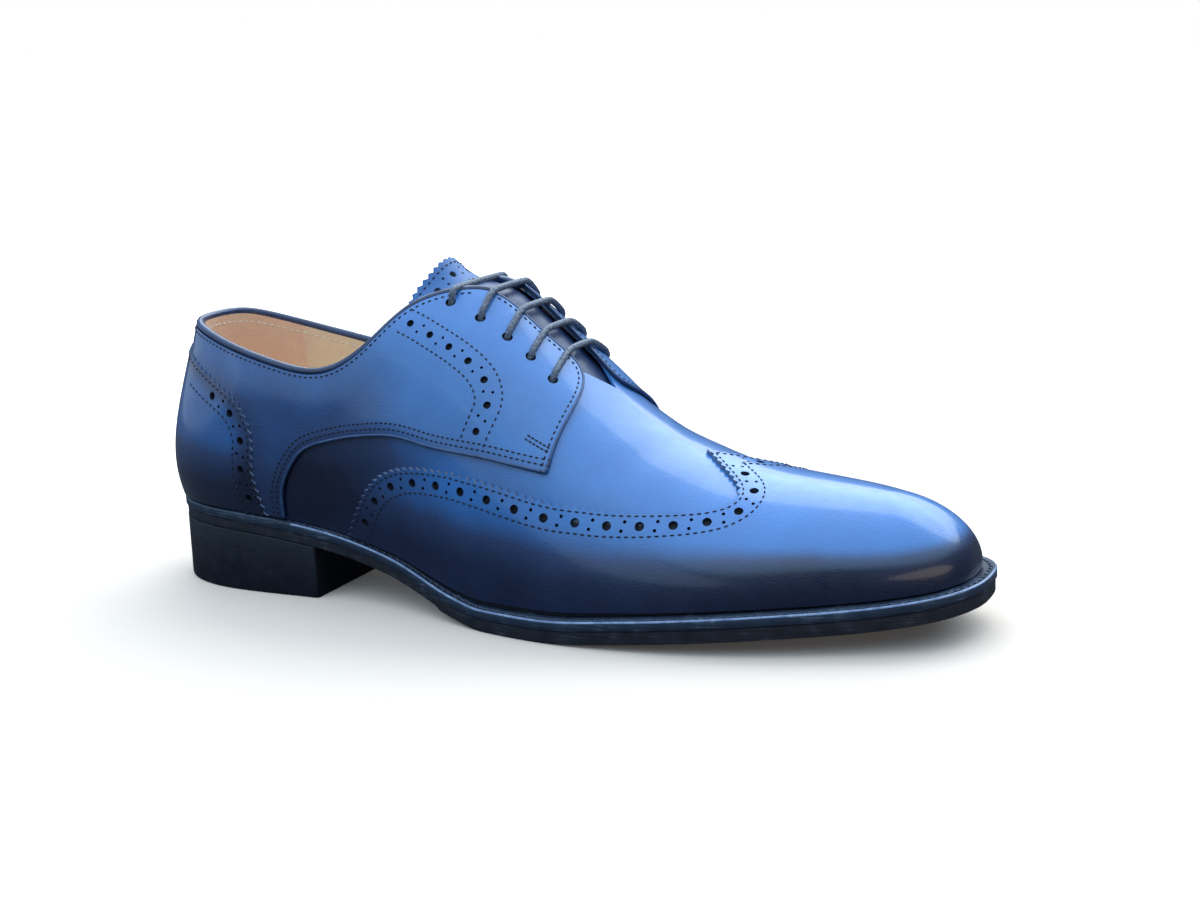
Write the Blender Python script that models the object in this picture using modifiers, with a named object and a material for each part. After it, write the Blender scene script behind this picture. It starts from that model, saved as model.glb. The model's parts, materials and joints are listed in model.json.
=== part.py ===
"""Full brogue derby shoe for the right foot, standing on its heel and forefoot.

The shoe is worked out from the shape of its last. One function gives a point of the
last from two shares: "along" runs from the heel (0) to the toe (1), and "up" runs from
the welt (0) to the top line (1). The upper is that surface with a wall, and the panels
sewn over it are cut from the same surface. Tables are in millimetres, with x measured
from the back of the heel, y positive on the medial side and z from the ground.
"""
import bmesh
import bpy
import numpy as np

SHOE = "brogue_derby"
MM = 0.001
SEAM_MERGE = 0.00015
LATERAL = -1
MEDIAL = 1

# Driving sizes, millimetres
MIDDLE_X = 149.93
MIDDLE_Y = -0.65
GAP = 0.3
PANEL_GAP = 0.58
OUTSOLE_THICK = 4.4
WELT_THICK = 3.4
WELT_WIDTH = 10.0
OUTSOLE_INSET = 0.5
TREAD_BACK = 128.0
TREAD_STEP = 0.9
FLAT_BACK = 148.0
FLAT_FRONT = 168.0
HEEL_BREAST = 73.0
HEEL_FLARE = 0.8
INSOLE_THICK = 2.5
WALL = 1.6
OVERLAY = 1.2
COUNTER_THICK = 1.9
TONGUE_THICK = 1.8
BEAD_RADIUS = 1.1
BEAD_LIFT = 0.8
LACE_RADIUS = 1.2
LACE_CROWN = 0.6
SOLE_EDGE = OUTSOLE_THICK + WELT_THICK

# Shares of the last
TOE_POLE = 0.90
THROAT_END = 0.605
BINDING_END = 0.47
PANEL_FOOT = 0.018
PANEL_HEAD = 0.985
EDGE_LENGTH = 340.0
SECTION_LENGTH = 90.0
UPPER_ROWS = np.linspace(0, 1, 12)
NEAR_TOP = 0.995
SHARP_ANGLE = 40.0

# Points along each piece
OUTSOLE_SECTIONS = 46
WELT_SECTIONS = 49
HEEL_SECTIONS = 22
INSOLE_SECTIONS = 36
COUNTER_POINTS = 24
QUARTER_POINTS = 24
FACING_POINTS = 12
COLLAR_POINTS = 15
WING_POINTS = 28
RIDGE_POINTS = 9


def table(columns, *rows):
    """Name the columns of a short table."""
    return dict(zip(columns.split(), np.array(rows, float).T))


# Half widths of the sole
OUTLINE = table(
    "x lateral medial",
    (0, 0, 0), (2.5, 12, 12), (9, 21.5, 21), (20, 28.5, 28), (38, 32.5, 31.5), (72, 33, 30.5),
    (110, 37, 28.5), (140, 46, 34), (170, 51.5, 45), (195, 52, 50), (220, 49.5, 50.5),
    (245, 43.5, 45), (268, 35.5, 35.5), (284, 28.5, 27), (294.5, 21, 19.5), (299.5, 13.5, 12.5),
    (301.5, 7.5, 7), (302, 0, 0))

# Height of the sole's underside: heel seat, arch, flat tread and toe spring
UNDERSIDE = table(
    "x z",
    (-5, 22.8), (0, 22.6), (40, 21), (75, 17.2), (105, 10.9), (135, 2), (FLAT_BACK, 0), (FLAT_FRONT, 0),
    (200, 2.4), (220, 4.1), (240, 5.6), (270, 7.6), (303, 11.3), (310, 12.2))

# How far the foot of the upper stands in from the edge of the welt
FEATHER = table("along inset", (0, 2), (0.2, 2.2), (0.4, 3.2), (0.55, 5), (0.7, 5.6), (1, 5.8))

# Top line: collar to 0.40, top of the facings to 0.475, throat to 0.60, then the ridge of the vamp
TOP_LINE = table(
    "along x lateral medial z_lateral z_medial",
    (0.00, 14, 0, 0, 93.2, 93.2),
    (0.05, 17, 12, 11.5, 93, 92.8),
    (0.10, 25, 20, 19, 91.3, 90.2),
    (0.16, 41, 26.5, 25.5, 87, 85),
    (0.23, 62, 30, 28, 82, 80),
    (0.295, 82, 30.5, 28.5, 80.2, 78.5),
    (0.355, 100, 28, 26.5, 89.5, 88.8),
    (0.40, 113, 21, 20.5, 101, 101),
    (0.44, 126, 13.5, 13.5, 105.2, 105.2),
    (0.475, 137, 8.5, 8.5, 104.2, 104.2),
    (0.53, 153, 6, 6, 92.5, 92.5),
    (0.58, 169, 3, 3, 79, 79),
    (0.605, 177.3, 0, 0, 71.8, 71.8),
    (0.63, 186, 0, 0, 65, 65),
    (0.68, 205, 0, 0, 54.5, 54.5),
    (0.73, 225, 0, 0, 47.6, 47.6),
    (0.78, 245, 0, 0, 44.6, 44.6),
    (0.83, 262, 0, 0, 42.6, 42.6),
    (0.87, 268, 0, 0, 41.8, 41.8),
    (0.90, 270, 0, 0, 41.5, 41.5))

# Sideways place of the middle of the top line
RIDGE = table("x y", (0, 0), (80, 0), (135, 2), (170, 1), (205, -2.5), (235, -2.5), (270, -1), (303, 0))

# Sections: lean of the wall at the welt, fullness low and high, drop at the top line, and
# the way that the top of the section faces, seen from above
SECTION = table(
    "along lean_lateral lean_medial low high drop turn",
    (0.00, 72, 72, 0.32, 0.36, 76, 180),
    (0.06, 72, 72, 0.32, 0.36, 76, 140),
    (0.12, 75, 75, 0.32, 0.36, 76, 112),
    (0.20, 80, 80, 0.32, 0.36, 74, 95),
    (0.30, 84, 86, 0.32, 0.36, 70, 90),
    (0.40, 86, 88, 0.34, 0.36, 46, 90),
    (0.475, 86, 88, 0.34, 0.38, 26, 90),
    (0.58, 86, 88, 0.34, 0.40, 14, 90),
    (0.68, 85, 86, 0.34, 0.41, 4, 90),
    (0.78, 84, 84, 0.34, 0.42, 0, 90),
    (0.90, 82, 82, 0.36, 0.42, 2, 80),
    (1.00, 82, 82, 0.36, 0.36, 10, 0))

# Seams of the panels
COUNTER_EDGE = table(
    "along up",
    (0.210, PANEL_FOOT), (0.203, 0.18), (0.200, 0.34), (0.203, 0.48), (0.198, 0.62), (0.180, 0.725),
    (0.145, 0.79), (0.075, 0.86), (0.025, 0.89), (0.012, 0.92), (0.012, PANEL_HEAD))
QUARTER_SEAM = table(
    "along medial up",
    (0.228, 0.228, PANEL_FOOT), (0.233, 0.233, 0.235), (0.250, 0.250, 0.42), (0.275, 0.275, 0.56),
    (0.320, 0.320, 0.615), (0.365, 0.367, 0.565), (0.420, 0.425, 0.48), (0.475, 0.485, 0.45),
    (0.568, 0.585, 0.49))
FACING_EDGE = table(
    "along medial up",
    (0.568, 0.585, 0.49), (0.578, 0.596, 0.65), (0.585, 0.603, 0.82), (0.581, 0.600, 0.92),
    (0.570, 0.588, 0.965), (0.540, 0.555, 0.98), (0.475, 0.475, PANEL_HEAD))
WING_EDGE = table(
    "along up",
    (0.305, PANEL_FOOT), (0.323, 0.205), (0.352, 0.365), (0.395, 0.40), (0.480, 0.385), (0.535, 0.39),
    (0.595, 0.405), (0.662, 0.475), (0.722, 0.605), (0.733, 0.70), (0.728, 0.79), (0.692, 1))

# Eyelets of one facing, top to toe
EYELET = table("along up", (0.447, 0.935), (0.480, 0.885), (0.511, 0.875), (0.538, 0.868), (0.563, 0.845))

# Tongue: rows from the vamp to its top. Each side runs under the wall from "tuck" to "head", then
# reaches past it, and the middle rises above both sides by the crown
TONGUE = table(
    "along tuck head reach crown",
    (0.644, 0.86, 0.95, 0, 0), (0.613, 0.86, 0.95, 0, 0), (0.583, 0.86, 0.97, 0, 0), (0.545, 0.86, 1, 0, 0.6),
    (0.500, 0.86, 1, 0, 1), (0.470, 0.87, 1, 2, 1), (0.440, 0.89, 1, 4, 2), (0.415, 0.92, 1, 4, 5),
    (0.400, 0.95, 1, 4, 8))


def spline(knots, values, at):
    """Natural cubic spline through a column."""
    step = np.diff(knots)
    slope = np.diff(values) / step
    system = np.eye(len(knots))
    bend = np.zeros(len(knots))
    for i in range(1, len(knots) - 1):
        system[i, i - 1:i + 2] = step[i - 1], 2 * (step[i - 1] + step[i]), step[i]
        bend[i] = 6 * (slope[i] - slope[i - 1])
    bend = np.linalg.solve(system, bend)
    k = np.clip(np.searchsorted(knots, at) - 1, 0, len(knots) - 2)
    left, right, h = knots[k + 1] - at, at - knots[k], step[k]
    cubic = (bend[k] * left ** 3 + bend[k + 1] * right ** 3) / (6 * h)
    line = (values[k] / h - bend[k] * h / 6) * left + (values[k + 1] / h - bend[k + 1] * h / 6) * right
    return cubic + line


def steady(knots, values, at):
    """Cubic through a column that never overshoots, so that flat rows stay flat."""
    step = np.diff(knots)
    slope = np.diff(values) / step
    lean = np.zeros(len(knots))
    lean[0], lean[-1] = slope[0], slope[-1]
    for i in range(1, len(knots) - 1):
        if slope[i - 1] * slope[i] > 0:
            before, after = 2 * step[i] + step[i - 1], step[i] + 2 * step[i - 1]
            lean[i] = (before + after) / (before / slope[i - 1] + after / slope[i])
    k = np.clip(np.searchsorted(knots, at) - 1, 0, len(knots) - 2)
    h = step[k]
    t = (at - knots[k]) / h
    ends = (1 + 2 * t) * (1 - t) ** 2 * values[k] + t * t * (3 - 2 * t) * values[k + 1]
    return ends + h * t * (1 - t) * ((1 - t) * lean[k] - t * lean[k + 1])


def column(rows, name, along, odd=False, past_toe=True):
    """Spline of a column, mirrored past the heel and the toe so that both sides join smoothly."""
    knots, values = rows["along"], rows[name]
    sign = -1 if odd else 1
    before, after = slice(3, 0, -1), slice(-2, -5, -1)
    ends = [(-knots[before], sign * values[before]), (knots, values)]
    if past_toe:
        ends.append((2 * knots[-1] - knots[after], sign * values[after]))
    return spline(np.concatenate([e[0] for e in ends]), np.concatenate([e[1] for e in ends]), along)


def outline_halves():
    """Dense points, outward normals and shares of length of both sides of the sole."""
    lateral = np.column_stack([OUTLINE["x"], -OUTLINE["lateral"]])
    medial = np.column_stack([OUTLINE["x"], OUTLINE["medial"]])
    loop = np.vstack([lateral, medial[-2:0:-1]])
    around = np.vstack([loop[-4:], loop, loop[:5]])
    chord = np.concatenate([[0], np.cumsum(np.linalg.norm(np.diff(around, axis=0), axis=1) ** 0.5)])
    fine = np.linspace(chord[4], chord[-5], 4001)
    points = np.column_stack([spline(chord, around[:, i], fine) for i in (0, 1)])
    forward = np.roll(points[:-1], -1, axis=0) - np.roll(points[:-1], 1, axis=0)
    forward = np.vstack([forward, forward[:1]])
    normals = np.column_stack([forward[:, 1], -forward[:, 0]])
    normals /= np.linalg.norm(normals, axis=1, keepdims=True)
    toe = int(np.argmax(points[:, 0]))
    halves = {}
    for side, part in ((LATERAL, slice(None, toe + 1)), (MEDIAL, slice(None, toe - 1, -1))):
        length = np.concatenate([[0], np.cumsum(np.linalg.norm(np.diff(points[part], axis=0), axis=1))])
        halves[side] = points[part], normals[part], length / length[-1]
    return halves


HALVES = outline_halves()


def outline(side, along):
    """Point and outward normal of the sole's edge."""
    points, normals, share = HALVES[side]
    edge = np.stack([np.interp(along, share, points[:, i]) for i in (0, 1)], -1)
    normal = np.stack([np.interp(along, share, normals[:, i]) for i in (0, 1)], -1)
    return edge, normal / np.linalg.norm(normal, axis=-1, keepdims=True)


def underside(x):
    return steady(UNDERSIDE["x"], UNDERSIDE["z"], x)


def half_width(side, inset, x):
    """Sideways place at x of the sole's edge moved in by an inset, one value or one for each share."""
    points, normals, share = HALVES[side]
    amount = inset(share) if callable(inset) else np.full(len(share), inset)
    moved = points - normals * amount[:, None]
    return np.interp(x, moved[:, 0], moved[:, 1])


def feather_inset(along):
    return column(FEATHER, "inset", along)


def feather(side, along):
    """Foot of the upper on the welt, and the way out from it."""
    edge, normal = outline(side, along)
    foot = edge - normal * feather_inset(along)[..., None]
    z = underside(foot[..., 0]) + SOLE_EDGE + GAP
    return np.concatenate([foot, z[..., None]], -1), normal


def top_line(side, along):
    along = np.minimum(along, TOE_POLE)
    name = "lateral" if side == LATERAL else "medial"
    x = column(TOP_LINE, "x", along, past_toe=False)
    half = column(TOP_LINE, name, along, odd=True, past_toe=False)
    half = np.where(along < THROAT_END, np.maximum(half, 0), 0)
    z = column(TOP_LINE, "z_" + name, along, past_toe=False)
    return np.stack([x, side * half + steady(RIDGE["x"], RIDGE["y"], x), z], -1)


def last(side, along, up):
    """Point of the last: a cubic from the welt to the top line."""
    along, up = np.broadcast_arrays(np.asarray(along, float), np.asarray(up, float))
    foot, out = feather(side, along)
    head = top_line(side, along)
    lean = np.radians(column(SECTION, "lean_lateral" if side == LATERAL else "lean_medial", along))
    drop = np.radians(column(SECTION, "drop", along))
    turn = np.radians(steady(SECTION["along"], SECTION["turn"], along))
    span = np.linalg.norm(head - foot, axis=-1)
    rise = np.stack([out[..., 0] * np.cos(lean), out[..., 1] * np.cos(lean), np.sin(lean)], -1)
    fall = np.stack([np.cos(turn) * np.cos(drop), side * np.sin(turn) * np.cos(drop), -np.sin(drop)], -1)
    low = foot + (column(SECTION, "low", along) * span)[..., None] * rise
    high = head + (column(SECTION, "high", along) * span)[..., None] * fall
    t = up[..., None]
    return (1 - t) ** 3 * foot + 3 * t * (1 - t) ** 2 * low + 3 * t * t * (1 - t) * high + t ** 3 * head


def last_normal(side, along, up, step=0.002):
    """Outward normal of the last."""
    along, up = np.broadcast_arrays(np.asarray(along, float), np.asarray(up, float))
    before, after = np.clip(along - step, 0, 1), np.clip(along + step, 0, 1)
    under, over = np.clip(up - step, 0, NEAR_TOP), np.clip(up + step, 0, NEAR_TOP + step)
    flat_up = np.minimum(up, NEAR_TOP)
    normal = np.cross(last(side, after, flat_up) - last(side, before, flat_up),
                      last(side, along, over) - last(side, along, under)) * -side
    return normal / np.linalg.norm(normal, axis=-1, keepdims=True)


def offset_last(side, along, up, distance):
    return last(side, along, up) + last_normal(side, along, up) * distance


def rim_rise(side, along):
    """Way that the wall points at the top line."""
    rise = last(side, along, 1.0) - last(side, along, 0.98)
    return rise / np.linalg.norm(rise, axis=-1, keepdims=True)


def world(points):
    """Millimetres on the shoe to metres in the model's frame."""
    return (np.asarray(points) - (MIDDLE_X, MIDDLE_Y, 0)) * MM


def clear_scene():
    for old in list(bpy.data.objects):
        bpy.data.objects.remove(old, do_unlink=True)


def new_material(name, colour, roughness):
    material = bpy.data.materials.new(name)
    material.use_nodes = True
    shader = material.node_tree.nodes["Principled BSDF"]
    shader.inputs["Base Color"].default_value = (*colour, 1)
    shader.inputs["Roughness"].default_value = roughness
    shader.inputs["Metallic"].default_value = 0
    return material


def add_part(name, data, material):
    part = bpy.data.objects.new(name, data)
    data.materials.append(material)
    bpy.data.collections[SHOE].objects.link(part)
    return part


def finish_mesh(name, bm, smooth=True):
    mesh = bpy.data.meshes.new(name)
    bm.to_mesh(mesh)
    bm.free()
    if smooth:
        mesh.shade_smooth()
        mesh.set_sharp_from_angle(angle=np.radians(SHARP_ANGLE))
    return mesh


def loft(name, sections, ring=False):
    """Closed body through sections of equal point count, joined end to end for a ring."""
    bm = bmesh.new()
    rows = [[bm.verts.new(p) for p in world(section)] for section in sections]
    pairs = list(zip(rows, rows[1:]))
    if ring:
        pairs.append((rows[-1], rows[0]))
    for a, b in pairs:
        for i in range(len(a)):
            j = (i + 1) % len(a)
            bm.faces.new((a[i], a[j], b[j], b[i]))
    if not ring:
        bm.faces.new(rows[0][::-1])
        bm.faces.new(rows[-1])
    bmesh.ops.remove_doubles(bm, verts=bm.verts, dist=1e-6)
    bmesh.ops.recalc_face_normals(bm, faces=bm.faces)
    return finish_mesh(name, bm)


def sheet(name, rows, closed=False):
    """Open surface over a grid of points."""
    bm = bmesh.new()
    grid = [[bm.verts.new(p) for p in world(row)] for row in rows]
    pairs = list(zip(grid, grid[1:]))
    if closed:
        pairs.append((grid[-1], grid[0]))
    for a, b in pairs:
        for i in range(len(a) - 1):
            bm.faces.new((a[i], b[i], b[i + 1], a[i + 1]))
    bmesh.ops.remove_doubles(bm, verts=bm.verts, dist=1e-6)
    return finish_mesh(name, bm)


def add_wall(part, thickness, side):
    """Give an open surface its wall, on the side of its normals (1) or against them (-1)."""
    wall = part.modifiers.new("wall", "SOLIDIFY")
    wall.thickness = thickness * MM
    wall.offset = side
    wall.use_even_offset = True


def edge_stations(first, last_x, count):
    """Places along the foot, closer together at both ends."""
    return first + (last_x - first) * (1 - np.cos(np.linspace(0, np.pi, count))) / 2


def plate_sections(xs, inset, low, high):
    """Sections of a plate that follows the sole's underside from low to high above it."""
    sections = []
    for x in xs:
        lateral, medial = (half_width(side, inset, x) for side in (LATERAL, MEDIAL))
        bottom, top = underside(x) + low(x), underside(x) + high
        sections.append([(x, lateral, bottom), (x, lateral, top), (x, medial, top), (x, medial, bottom)])
    return sections


def make_outsole(material):
    """Plate from heel to toe, with the tread standing below the smooth waist."""
    end = OUTLINE["x"][-1]
    xs = edge_stations(OUTSOLE_INSET, end - OUTSOLE_INSET, OUTSOLE_SECTIONS)
    marks = np.array([TREAD_BACK - GAP, TREAD_BACK + GAP, FLAT_BACK, FLAT_FRONT])
    clear_of_marks = np.abs(xs[:, None] - marks).min(axis=1) > 2
    xs = np.sort(np.concatenate([xs[clear_of_marks], marks]))
    sections = plate_sections(xs, OUTSOLE_INSET, lambda x: TREAD_STEP * (x < TREAD_BACK), OUTSOLE_THICK)
    return add_part("outsole", loft("outsole", sections), material)


def make_welt(material):
    """Strip around the edge of the sole, which the upper is sewn to."""
    shares = np.linspace(0, 1, WELT_SECTIONS)
    sections = []
    for side, values in ((LATERAL, shares[:-1]), (MEDIAL, shares[:0:-1])):
        for along in values:
            edge, normal = outline(side, along)
            inner = edge - normal * WELT_WIDTH
            low, high = OUTSOLE_THICK + GAP, SOLE_EDGE
            corners = ((edge, low), (edge, high), (inner, high), (inner, low))
            sections.append([(*p, underside(p[0]) + z) for p, z in corners])
    return add_part("welt", loft("welt", sections, ring=True), material)


def make_heel(material):
    """Block under the heel seat, with a straight breast and a flat foot."""
    foot_inset = OUTSOLE_INSET - HEEL_FLARE
    sections = []
    for share in 1 - np.cos(np.linspace(0, np.pi / 2, HEEL_SECTIONS)):
        head = OUTSOLE_INSET + share * (HEEL_BREAST - OUTSOLE_INSET)
        foot = foot_inset + share * (HEEL_BREAST - foot_inset)
        top = underside(head) + TREAD_STEP - GAP
        sections.append([
            (foot, half_width(LATERAL, foot_inset, foot), 0),
            (head, half_width(LATERAL, OUTSOLE_INSET, head), top),
            (head, half_width(MEDIAL, OUTSOLE_INSET, head), top),
            (foot, half_width(MEDIAL, foot_inset, foot), 0)])
    return add_part("heel", loft("heel", sections), material)


def make_insole(material):
    """Plate inside the foot of the upper, lying on the welt."""
    def inset(share):
        return feather_inset(share) + WALL + 2 * GAP
    xs = edge_stations(inset(np.zeros(1))[0], OUTLINE["x"][-1] - inset(np.ones(1))[0], INSOLE_SECTIONS)
    low = SOLE_EDGE + GAP
    sections = plate_sections(xs, inset, lambda x: low, low + INSOLE_THICK)
    return add_part("insole", loft("insole", sections), material)


def upper_shares():
    """Shares along the foot, closer where the wall turns: at the heel, the facings and the toe."""
    runs = (0, 0.12, 6), (0.12, 0.36, 7), (0.36, 0.48, 6), (0.48, 0.86, 11), (0.86, 1, 8)
    parts = [np.linspace(start, end, steps, endpoint=False) for start, end, steps in runs]
    return np.concatenate(parts + [[1]])


def make_upper(material):
    """Wall of the upper, open underneath, at the collar and at the throat."""
    shares = upper_shares()
    rows = [last(LATERAL, along, UPPER_ROWS) for along in shares]
    rows += [last(MEDIAL, along, UPPER_ROWS) for along in shares[-2:0:-1]]
    upper = add_part("upper", sheet("upper", rows, closed=True), material)
    add_wall(upper, WALL, -1)
    return upper


def seam_points(seam, count, column_name="along"):
    """Smooth run of points along a seam's table."""
    points = np.column_stack([seam[column_name] * EDGE_LENGTH, seam["up"] * SECTION_LENGTH])
    chord = np.concatenate([[0], np.cumsum(np.linalg.norm(np.diff(points, axis=0), axis=1) ** 0.5)])
    fine = np.linspace(0, chord[-1], count)
    return np.column_stack([steady(chord, points[:, i], fine) for i in (0, 1)])


def pattern(corners):
    """Corner points given as shares, on the flat pattern in millimetres."""
    return np.array(corners) * (EDGE_LENGTH, SECTION_LENGTH)


def panel(name, outlines, thickness, material):
    """Panel cut flat on the pattern, anticlockwise, laid over the last on each side, and its thickness."""
    bm = bmesh.new()
    laid = {}
    for side, points in outlines:
        flat = bmesh.new()
        flat.faces.new([flat.verts.new((x, y, 0)) for x, y in points])
        cuts = [((x, 0, 0), (1, 0, 0)) for x in upper_shares()[1:-1] * EDGE_LENGTH]
        cuts += [((0, y, 0), (0, 1, 0)) for y in UPPER_ROWS[1:-1] * SECTION_LENGTH]
        for place, direction in cuts:
            bmesh.ops.bisect_plane(flat, geom=flat.verts[:] + flat.edges[:] + flat.faces[:], dist=1e-5,
                                   plane_co=place, plane_no=direction)
        bmesh.ops.triangulate(flat, faces=flat.faces)
        places = np.array([v.co[:2] for v in flat.verts]) / (EDGE_LENGTH, SECTION_LENGTH)
        places = np.clip(places, 0, 1)
        spots = world(offset_last(side, places[:, 0], places[:, 1], PANEL_GAP))
        laid[side] = [bm.verts.new(p) for p in spots]
        flat.verts.index_update()
        for face in flat.faces:
            corners = [laid[side][v.index] for v in face.verts]
            bm.faces.new(corners if side == LATERAL else corners[::-1])
        flat.free()
    bmesh.ops.remove_doubles(bm, verts=bm.verts, dist=SEAM_MERGE)
    bmesh.ops.dissolve_degenerate(bm, edges=bm.edges, dist=SEAM_MERGE / 10)
    part = add_part(name, finish_mesh(name, bm), material)
    add_wall(part, thickness, 1)
    return part


def make_counter(material):
    """Heel counter with a narrow strip up the back seam."""
    edge = seam_points(COUNTER_EDGE, COUNTER_POINTS)
    back = pattern([(0, PANEL_HEAD), (0, PANEL_FOOT)])
    points = np.vstack([edge, back])
    return panel("heel_counter", [(LATERAL, points), (MEDIAL, points)], COUNTER_THICK, material)


def make_quarter(name, side, material):
    """Quarter with its facing, from the heel counter to the throat."""
    shy_of_counter = seam_points(COUNTER_EDGE, COUNTER_POINTS) + (2 * GAP, 2 * GAP)
    head = shy_of_counter[:, 1] < PANEL_HEAD * SECTION_LENGTH
    collar = pattern([(share, PANEL_HEAD) for share in np.linspace(0.02, 0.45, COLLAR_POINTS)])
    along = "along" if side == LATERAL else "medial"
    points = np.vstack([seam_points(QUARTER_SEAM, QUARTER_POINTS, along),
                        seam_points(FACING_EDGE, FACING_POINTS, along)[1:],
                        collar[::-1], shy_of_counter[head][::-1]])
    return panel(name, [(side, points)], OVERLAY, material)


def make_wing(material):
    """Winged toe cap, from both wing tails round the toe."""
    edge = seam_points(WING_EDGE, WING_POINTS)
    ridge = pattern([(share, 1) for share in np.linspace(0.72, TOE_POLE, RIDGE_POINTS)])
    toe = pattern([(1, 1), (1, PANEL_FOOT)])
    points = np.vstack([edge, ridge, toe])[::-1]
    return panel("wing_cap", [(LATERAL, points), (MEDIAL, points)], OVERLAY, material)


def arched(start, end, crown, count):
    """Points between two ends, raised to a crown in the middle."""
    share = np.linspace(0, 1, count + 2)[1:-1, None]
    points = start + share * (end - start)
    points[:, 2] += crown * 4 * (share * (1 - share))[:, 0]
    return points


def make_tongue(material):
    """Tongue under the throat, rising over the instep."""
    under = -(WALL + 3 * GAP)
    rows = []
    for along, tuck, head, reach, crown in zip(*TONGUE.values()):
        sides = []
        for side in (LATERAL, MEDIAL):
            points = offset_last(side, along, np.linspace(tuck, head, 4), under)
            sides.append(np.vstack([points, points[-1] + rim_rise(side, along) * reach]))
        lateral, medial = sides
        rows.append(np.vstack([lateral, arched(lateral[-1], medial[-1], crown, 5), medial[::-1]]))
    tongue = add_part("tongue", sheet("tongue", rows[::-1]), material)
    add_wall(tongue, TONGUE_THICK, -1)
    return tongue


def tube(name, points, radius, material):
    """Round cord along a run of points."""
    curve = bpy.data.curves.new(name, "CURVE")
    curve.dimensions = "3D"
    curve.bevel_depth = radius * MM
    curve.bevel_resolution = 2
    curve.use_fill_caps = True
    run = curve.splines.new("POLY")
    run.points.add(len(points) - 1)
    for point, place in zip(run.points, world(points)):
        point.co = (*place, 1)
    return add_part(name, curve, material)


def make_binding(material):
    """Rolled bead along the collar."""
    points = []
    shares = upper_shares()
    shares = shares[shares < BINDING_END]
    for side, values in ((LATERAL, shares[::-1]), (MEDIAL, shares[1:])):
        middle_of_wall = offset_last(side, values, 1.0, -WALL / 2)
        points.append(middle_of_wall + rim_rise(side, values) * (BEAD_RADIUS + BEAD_LIFT))
    return tube("collar_binding", np.vstack(points), BEAD_RADIUS, material)


def make_lace_bar(number, material):
    """One straight bar of the lace, from eyelet to eyelet over both facings."""
    along, up = EYELET["along"][number], EYELET["up"][number]
    ups = np.linspace(up, 0.99, 4)
    clear = PANEL_GAP + OVERLAY + GAP + LACE_RADIUS
    lateral = offset_last(LATERAL, along, ups, clear)
    medial = offset_last(MEDIAL, along, ups, clear)
    crown = LACE_CROWN + np.interp(-along, -TONGUE["along"], TONGUE["crown"] + TONGUE["reach"] / 2)
    points = np.vstack([lateral, arched(lateral[-1], medial[-1], crown, 3), medial[::-1]])
    return tube(f"lace_bar_{number + 1}", points, LACE_RADIUS, material)


def main():
    clear_scene()
    shoe = bpy.data.collections.new(SHOE)
    bpy.context.scene.collection.children.link(shoe)
    blue_calf = new_material("blue_calf", (0.035, 0.085, 0.30), 0.3)
    dark_calf = new_material("dark_calf", (0.012, 0.022, 0.075), 0.3)
    tongue_calf = new_material("tongue_calf", (0.03, 0.07, 0.25), 0.4)
    tan_lining = new_material("tan_lining", (0.62, 0.42, 0.29), 0.7)
    sole_rubber = new_material("sole_rubber", (0.02, 0.026, 0.042), 0.55)
    welt_leather = new_material("welt_leather", (0.02, 0.032, 0.075), 0.45)
    lace_cord = new_material("lace_cord", (0.055, 0.065, 0.10), 0.6)
    make_outsole(sole_rubber)
    make_welt(welt_leather)
    make_heel(sole_rubber)
    make_insole(tan_lining)
    make_upper(blue_calf)
    make_counter(dark_calf)
    make_quarter("quarter_lateral", LATERAL, blue_calf)
    make_quarter("quarter_medial", MEDIAL, blue_calf)
    make_wing(dark_calf)
    make_tongue(tongue_calf)
    make_binding(dark_calf)
    for number in range(len(EYELET["along"])):
        make_lace_bar(number, lace_cord)


main()
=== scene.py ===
# %% [markdown]
# # Dressing a full brogue derby
# The solids of the shoe are already built and packed. This lesson loads them as a fixed frame and makes
# what a shoemaker adds: leather panels with pinked edges and punched holes, stitches, lining, piping,
# laces, a stitched welt and a knurled sole. Each new piece takes the place of the solid it stands for.

# %% Load the solids
import json

import bmesh
import bpy
import numpy as np
from mathutils import Matrix, Vector

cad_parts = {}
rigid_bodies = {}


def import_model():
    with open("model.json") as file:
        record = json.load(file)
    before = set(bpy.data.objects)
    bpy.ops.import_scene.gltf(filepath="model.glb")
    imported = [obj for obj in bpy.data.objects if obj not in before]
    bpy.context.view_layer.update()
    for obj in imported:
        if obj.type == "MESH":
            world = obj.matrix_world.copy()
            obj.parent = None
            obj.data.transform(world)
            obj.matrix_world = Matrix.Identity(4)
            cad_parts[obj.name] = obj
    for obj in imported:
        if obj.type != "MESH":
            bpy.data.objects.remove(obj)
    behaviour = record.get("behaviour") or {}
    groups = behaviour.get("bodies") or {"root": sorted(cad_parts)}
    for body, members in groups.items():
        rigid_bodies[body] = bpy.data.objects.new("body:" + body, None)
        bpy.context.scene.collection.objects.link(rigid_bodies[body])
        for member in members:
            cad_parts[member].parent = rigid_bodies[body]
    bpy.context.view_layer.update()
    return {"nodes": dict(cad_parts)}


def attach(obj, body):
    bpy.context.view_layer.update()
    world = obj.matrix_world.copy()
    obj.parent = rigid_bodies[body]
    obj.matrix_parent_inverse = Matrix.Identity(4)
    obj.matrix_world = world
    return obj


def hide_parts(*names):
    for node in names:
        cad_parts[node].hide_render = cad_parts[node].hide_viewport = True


for old in list(bpy.data.objects):
    bpy.data.objects.remove(old, do_unlink=True)
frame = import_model()
print("solids:", ", ".join(sorted(frame["nodes"])))

# %% [markdown]
# ## The camera
# The camera stands in front of the lateral side, a little above the shoe, with the toe nearer than the
# heel. Its place is written in millimetres from the back of the heel, as every size here is, and `world`
# turns such a place into metres in the frame of the solids.

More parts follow.
